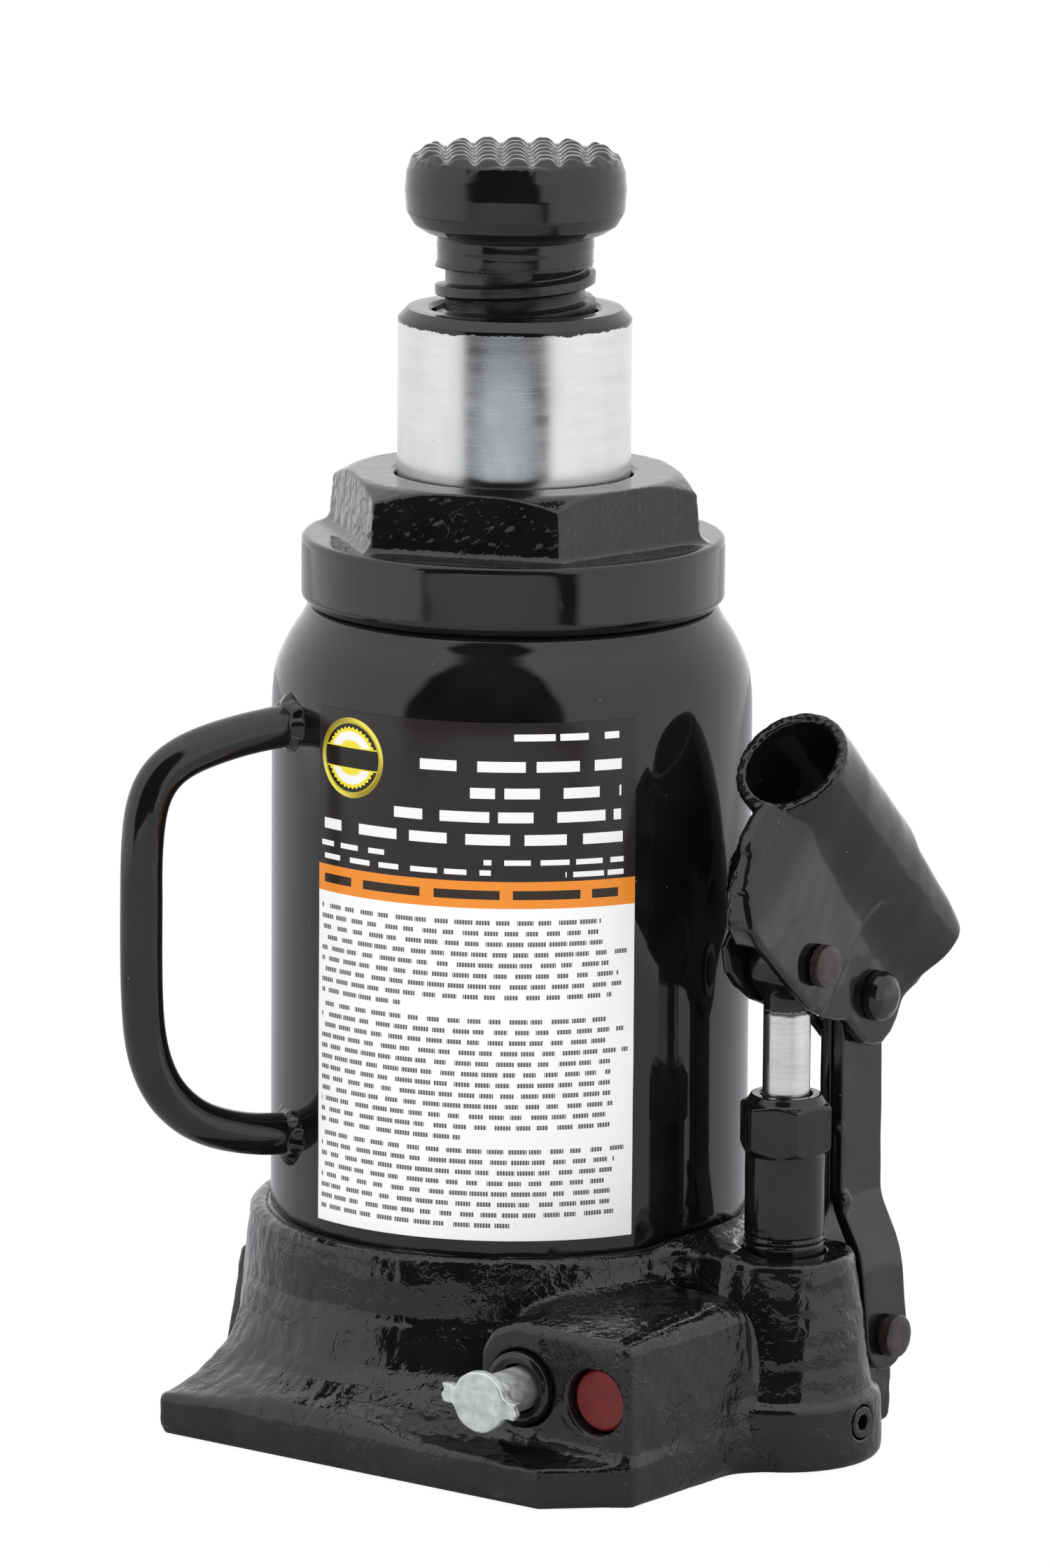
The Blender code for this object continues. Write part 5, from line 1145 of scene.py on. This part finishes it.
def label_material():
    """Printed film; u runs right from the left edge and v down from the top, in mm."""
    g = Material("label_printed_film")
    x, y, z = g.split(g.place)
    u = (g.math("ARCTAN2", y, x) - LABEL_START) * LABEL_RADIUS
    v = LABEL_HIGH - z * 1000.0

    def band(value, low, high):
        return (value > low) * (value < high)

    def rect(left, right, top, bottom):
        return band(u, left, right) * band(v, top, bottom)

    def random(dimensions, socket, value):
        return g.make("ShaderNodeTexWhiteNoise", "Value", {socket: value},
                      noise_dimensions=dimensions)

    def words(row, size, seed, shortest, across, low, high):
        """Dashes of random length along a row, filling low to high of its height."""
        start = random("1D", "W", g.math("ADD", row, 7.31 + seed))
        cell = u / size + start * 9.0
        key = g.combine(g.math("FLOOR", cell), g.math("ADD", row, float(seed)), 0.0)
        within = g.math("FRACT", cell)
        length = shortest + random("2D", "Vector", key) * (0.93 - shortest)
        return (within < length) * (within > 0.03) * ((across > low) * (across < high))

    # panels: dark at the top, an orange stripe, white below
    color = g.mix(v < 35.2, (0.93, 0.93, 0.93), (0.022, 0.018, 0.019))
    color = g.mix(band(v, 35.2, 41.2), color, (0.84, 0.27, 0.030))
    ink = None
    for left, right, top, height in PRINT_ROWS:
        dashes = words(top, height * (3.6 if height > 3 else 4.4), seed=3, shortest=0.62,
                       across=(v - top) / height, low=0.20, high=0.86)
        dashes = rect(left, right, top, top + height) * dashes
        ink = dashes if ink is None else g.math("MAXIMUM", ink, dashes)
    color = g.mix(ink, color, (0.88, 0.88, 0.88))
    stripe = words(1.0, 17.6, seed=9, shortest=0.80, across=(v - 36.8) / 2.8,
                   low=0.14, high=0.86)
    color = g.mix(rect(2.0, 72.6, 36.8, 39.6) * stripe, color, (0.03, 0.02, 0.012))

    # three paragraphs of fine dark rows, each ending in a short one
    pitch = 2.38
    second, third = v > 65.3, v > 94.5
    top = second * 22.1 + (third * 29.2 + (44.4 - pitch / 2))
    rows = (v - top) / pitch
    row, across = g.math("FLOOR", rows), g.math("FRACT", rows)
    count = 9.0 + (second * 3.0 - third * 4.0)
    key = row + (second + third) * 31.0
    ragged = random("1D", "W", key + 0.37)
    last = row > count - 1.5
    full = LABEL_WIDTH - 1.4 - ragged * 7.0
    brief = 23.5 + (second * 14.0 + third * 12.5)
    right = last * brief + (1.0 - last) * full
    text = words(key, 4.6, seed=5, shortest=0.55, across=across, low=0.29, high=0.72)
    dash = g.math("FRACT", u / 0.62) < 0.55
    text = text * (0.45 + dash * 0.5)
    text = text * ((row < count - 0.5) * (row > -0.5))
    text = text * ((u > 1.2) * (u < right))
    text = text * (v > 42.4)
    color = g.mix(text, color, (0.02, 0.02, 0.022))

    # medallion: gold ring, toothed yellow and white discs, a dark band across
    du, dv = u - 10.0, v - 10.4
    radius = g.math("SQRT", du * du + dv * dv)
    turn = g.math("ARCTAN2", dv, du)
    tooth = g.math("ABSOLUTE", g.math("FRACT", turn * (36 / 6.2832)) - 0.5) * 1.1
    gold = g.mix(g.ramp(g.math("SINE", turn * 2.0), span=(-1.0, 1.0)), (0.82, 0.74, 0.10),
                 (0.30, 0.22, 0.015))
    yellow, dark = (0.84, 0.72, 0.035), (0.012, 0.010, 0.008)
    color = g.mix(radius < 8.9, color, gold)
    color = g.mix(radius < 8.0, color, (0.45, 0.36, 0.02))
    color = g.mix(radius < 7.6, color, dark)
    color = g.mix(radius + tooth < 7.0, color, yellow)
    color = g.mix(radius < 5.9, color, (0.88, 0.88, 0.86))
    color = g.mix(radius + tooth < 4.2, color, yellow)
    for half, reach, tone in ((2.5, 7.6, yellow), (2.2, 7.7, dark)):
        inside = g.math("ABSOLUTE", dv) < half
        color = g.mix(inside * (radius < reach), color, tone)
    g.shader.inputs["Specular IOR Level"].default_value = 0.30
    gloss = g.ramp(g.noise(size=12, detail=3), out=(0.16, 0.24))
    return g.finish(color, gloss, g.bump(g.noise(size=20, detail=2), depth=0.02))


COLUMNS, ROWS = 120, 60
share_u, share_v = np.meshgrid(np.linspace(0, 1, COLUMNS + 1), np.linspace(0, 1, ROWS + 1))


def label_sheet(offset):
    """Grid of points that follows the tank wall and the start of its shoulder."""
    angle = LABEL_START + (LABEL_END - LABEL_START) * share_u
    height = LABEL_LOW + (LABEL_HIGH - LABEL_LOW) * share_v
    radius = np.interp(height, [0] + [point[1] for point in SHOULDER[:5]],
                       [TANK_RADIUS] + [point[0] for point in SHOULDER[:5]]) + offset
    return np.stack([radius * np.cos(angle), radius * np.sin(angle), height], 2).reshape(-1, 3)


outer, inner = label_sheet(0.36), label_sheet(0.14)
outward = outer * np.array([1, 1, 0.0])
outward /= np.linalg.norm(outward, axis=1)[:, None]
outer = outer + outward * (0.05 * lumps(outer, 22, 131))[:, None]
back = len(outer)              # index of the inner sheet's first vertex


def at(i, j):
    return j * (COLUMNS + 1) + i


def label_edge(start, end):
    return (start, end, back + end, back + start)


faces = []
for j in range(ROWS):
    for i in range(COLUMNS):
        quad = (at(i, j), at(i + 1, j), at(i + 1, j + 1), at(i, j + 1))
        faces.append(quad)
        faces.append(tuple(back + quad[k] for k in (0, 3, 2, 1)))
for i in range(COLUMNS):
    faces.append((back + at(i, 0), back + at(i + 1, 0), at(i + 1, 0), at(i, 0)))
    faces.append(label_edge(at(i, ROWS), at(i + 1, ROWS)))
for j in range(ROWS):
    faces.append(label_edge(at(0, j), at(0, j + 1)))
    faces.append(label_edge(at(COLUMNS, j + 1), at(COLUMNS, j)))
piece("label_fine", np.concatenate([outer, inner]), faces, label_material(), "base",
      "label", sharp=60)

# ---------------------------------------------------------------- filler plug and wiper lip
PLUG_TURN = math.radians(112.0)
# (r, distance along the axis, corner radius)
PLUG = [(0, 49.5), (5.7, 49.5, 0.4), (5.7, 54.0, 0.2), (7.6, 54.0, 0.3), (7.6, 55.6, 0.6),
        (6.4, 56.3, 0.6), (3.2, 56.3, 0.4), (2.8, 55.4, 0.4), (0, 55.3)]
WIPER = [(26.25, 203.3), (27.9, 203.3, 0.2), (27.9, 206.0, 0.3), (26.5, 206.0, 0.3),
         (26.12, 207.4), (26.1, 203.6)]
turned("filler_plug_fine", rounded(PLUG, 5), rubber, "base", "oil_filler_plug",
       (math.cos(PLUG_TURN), math.sin(PLUG_TURN), 0.0), (0, 0, 150.0), 64)
turned("wiper_lip_fine", rounded(WIPER, 3), rubber, "base", "ram_wiper_seal",
       (0, 0, 1), (0, 0, 0), 96)

# ---------------------------------------------------------------- CAD pieces kept as they are
KEPT = (
    (bright_steel, "pressure_cylinder piston_seal_washer release_ball safety_adjusting_screw "
                   "safety_spring_seat safety_ball delivery_check_ball suction_check_ball"),
    (spring_steel, "piston_snap_ring screw_stop_ring plunger_pin_clip upper_pin_clip "
                   "lower_pin_clip safety_spring"),
    (copper, "cylinder_gasket pump_seat_washer"),
    (fibre, "tank_bottom_gasket"),
    (rubber, "tank_top_gasket release_o_ring"),
    (urethane, "piston_cup_seal pump_packing"),
)
for material, names in KEPT:
    for name in names.split():
        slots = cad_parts[name].data.materials
        slots.clear()
        slots.append(material)

# ---------------------------------------------------------------- floor (metres from here on)
VIEW_TURN, VIEW_DIP, VIEW_ROLL = 0.5632, 0.1438, 0.019      # camera angles, radians


def floor_plane(name, x0, x1, y0, y1, z):
    mesh = bpy.data.meshes.new(name)
    corners = [(x0, y0, z), (x1, y0, z), (x1, y1, z), (x0, y1, z)]
    mesh.from_pydata(corners, [], [(0, 1, 2, 3)])
    obj = bpy.data.objects.new(name, mesh)
    scene.collection.objects.link(obj)
    return obj


floor = floor_plane("stage_floor", -6, 6, -6, 6, -0.0004)
g = Material("stage_floor_white")
g.shader.inputs["Roughness"].default_value = 0.9
g.shader.inputs["Specular IOR Level"].default_value = 0.0
grey = g.ramp(g.noise(size=900, detail=2), out=(0.90, 0.915))
g.put(g.shader.inputs["Base Color"], g.combine(grey, grey, grey))
glow = g.make("ShaderNodeEmission", 0, {"Color": (1, 1, 1, 1), "Strength": 1.07})
g.mix_surface(0.88, Value(g, g.shader.outputs[0]), glow)
floor.data.materials.append(g.material)
floor.visible_glossy = False

# the table top as the jack's gloss sees it; it fades out at three edges
table = floor_plane("stage_table", -0.80, 0.55, -2.4, 1.2, -0.0002)
table.rotation_euler = (0, 0, VIEW_TURN)
g = Material("stage_table_white")
g.shader.inputs["Roughness"].default_value = 0.9
g.shader.inputs["Base Color"].default_value = (0.57, 0.585, 0.61, 1)
x, y, _ = g.split(g.place)
solid = g.ramp(x, span=(0.47, 0.57), out=(1.0, 0.0)) * g.ramp(x, span=(-0.82, -0.70))
solid = solid * g.ramp(y, span=(-2.4, -2.0))
clear = g.make("ShaderNodeBsdfTransparent", 0, {})
g.mix_surface(solid, clear, Value(g, g.shader.outputs[0]))
table.data.materials.append(g.material)
table.visible_camera = False
table.visible_diffuse = False
table.visible_shadow = False

# ---------------------------------------------------------------- world and fill light
# White surroundings with a dark oval towards the camera; angles are in degrees.
world = bpy.data.worlds.new("studio")
scene.world = world
world.use_nodes = True
g = Graph(world.node_tree, "Generated")
turned_view = g.make("ShaderNodeVectorRotate", 0, {"Vector": g.place, "Angle": -VIEW_TURN},
                     rotation_type="Z_AXIS")
x, y, z = g.split(turned_view)
# azimuth is 0 towards the camera and grows to the camera's right
azimuth = g.math("DEGREES", g.math("ARCTAN2", x, y * -1.0))
elevation = g.math("DEGREES", g.math("ARCSINE", z))
# below the horizon the oval shifts and widens
below = g.ramp(elevation, span=(-3.0, 0.0), out=(1.0, 0.0))
oval_middle = -10.0 + below * 6.5
across = g.math("ABSOLUTE", azimuth - oval_middle) / (40.0 + below * 2.5)
upward = g.math("MAXIMUM", elevation, 0.0) / 60.0
oval = (across ** 2.5 + upward ** 2.5) ** 0.4
dark = g.ramp(oval, span=(0.93, 1.07), out=(1.0, 0.0))
sides = g.ramp(g.math("ABSOLUTE", azimuth), span=(40.0, 150.0), out=(1.0, 0.88))
overhead = g.ramp(elevation, span=(20.0, 75.0), out=(1.0, 1.25))
level = sides * overhead * 1.27
background = g.find("BACKGROUND")
g.put(background.inputs["Strength"], level * (1.0 - dark) + dark * 0.012)
background.inputs["Color"].default_value = (1.0, 1.0, 1.0, 1)

# soft fill above and beside the camera, hidden from the gloss
fill_data = bpy.data.lights.new("fill", "AREA")
fill_data.shape = "DISK"
fill_data.size = 0.9
fill_data.energy = 11.0
fill = bpy.data.objects.new("fill", fill_data)
scene.collection.objects.link(fill)
fill.location = (0.62, -1.75, 0.75)
fill_aim = Vector((0, 0, 0.1)) - fill.location
fill.rotation_euler = fill_aim.to_track_quat("-Z", "Y").to_euler()
fill.visible_glossy = False
fill.visible_camera = False

# ---------------------------------------------------------------- camera
CAMERA_AT = (1.18541, -1.61970, 0.53859)
AIM_RIGHT, AIM_UP = -0.066985793, -0.051088385     # aim off the view axis, per unit forward
BASE_LENS = 209.071486                             # mm, before the aim is allowed for
turn_cos, turn_sin = math.cos(VIEW_TURN), math.sin(VIEW_TURN)
dip_cos, dip_sin = math.cos(VIEW_DIP), math.sin(VIEW_DIP)
forward = Vector((-turn_sin * dip_cos, turn_cos * dip_cos, -dip_sin))
level_right = Vector((turn_cos, turn_sin, 0))
level_up = Vector((-turn_sin * dip_sin, turn_cos * dip_sin, dip_cos))
right = level_right * math.cos(VIEW_ROLL) + level_up * math.sin(VIEW_ROLL)
up = -level_right * math.sin(VIEW_ROLL) + level_up * math.cos(VIEW_ROLL)
# the camera is turned in place from its view axis onto the aim
aim = forward + right * AIM_RIGHT + up * AIM_UP
stretch = aim.length
aim.normalize()
swing = forward.rotation_difference(aim)
right, up = swing @ right, swing @ up

camera_data = bpy.data.cameras.new("view")
camera = bpy.data.objects.new("view", camera_data)
scene.collection.objects.link(camera)
camera.matrix_world = Matrix([(right[i], up[i], -aim[i], CAMERA_AT[i]) for i in range(3)]
                             + [(0, 0, 0, 1)])
camera_data.sensor_width = 36.0
camera_data.lens = BASE_LENS * stretch ** 1.5
camera_data.clip_start = 0.05
camera_data.clip_end = 50
scene.camera = camera
scene.view_settings.view_transform = "Standard"
scene.view_settings.look = "None"
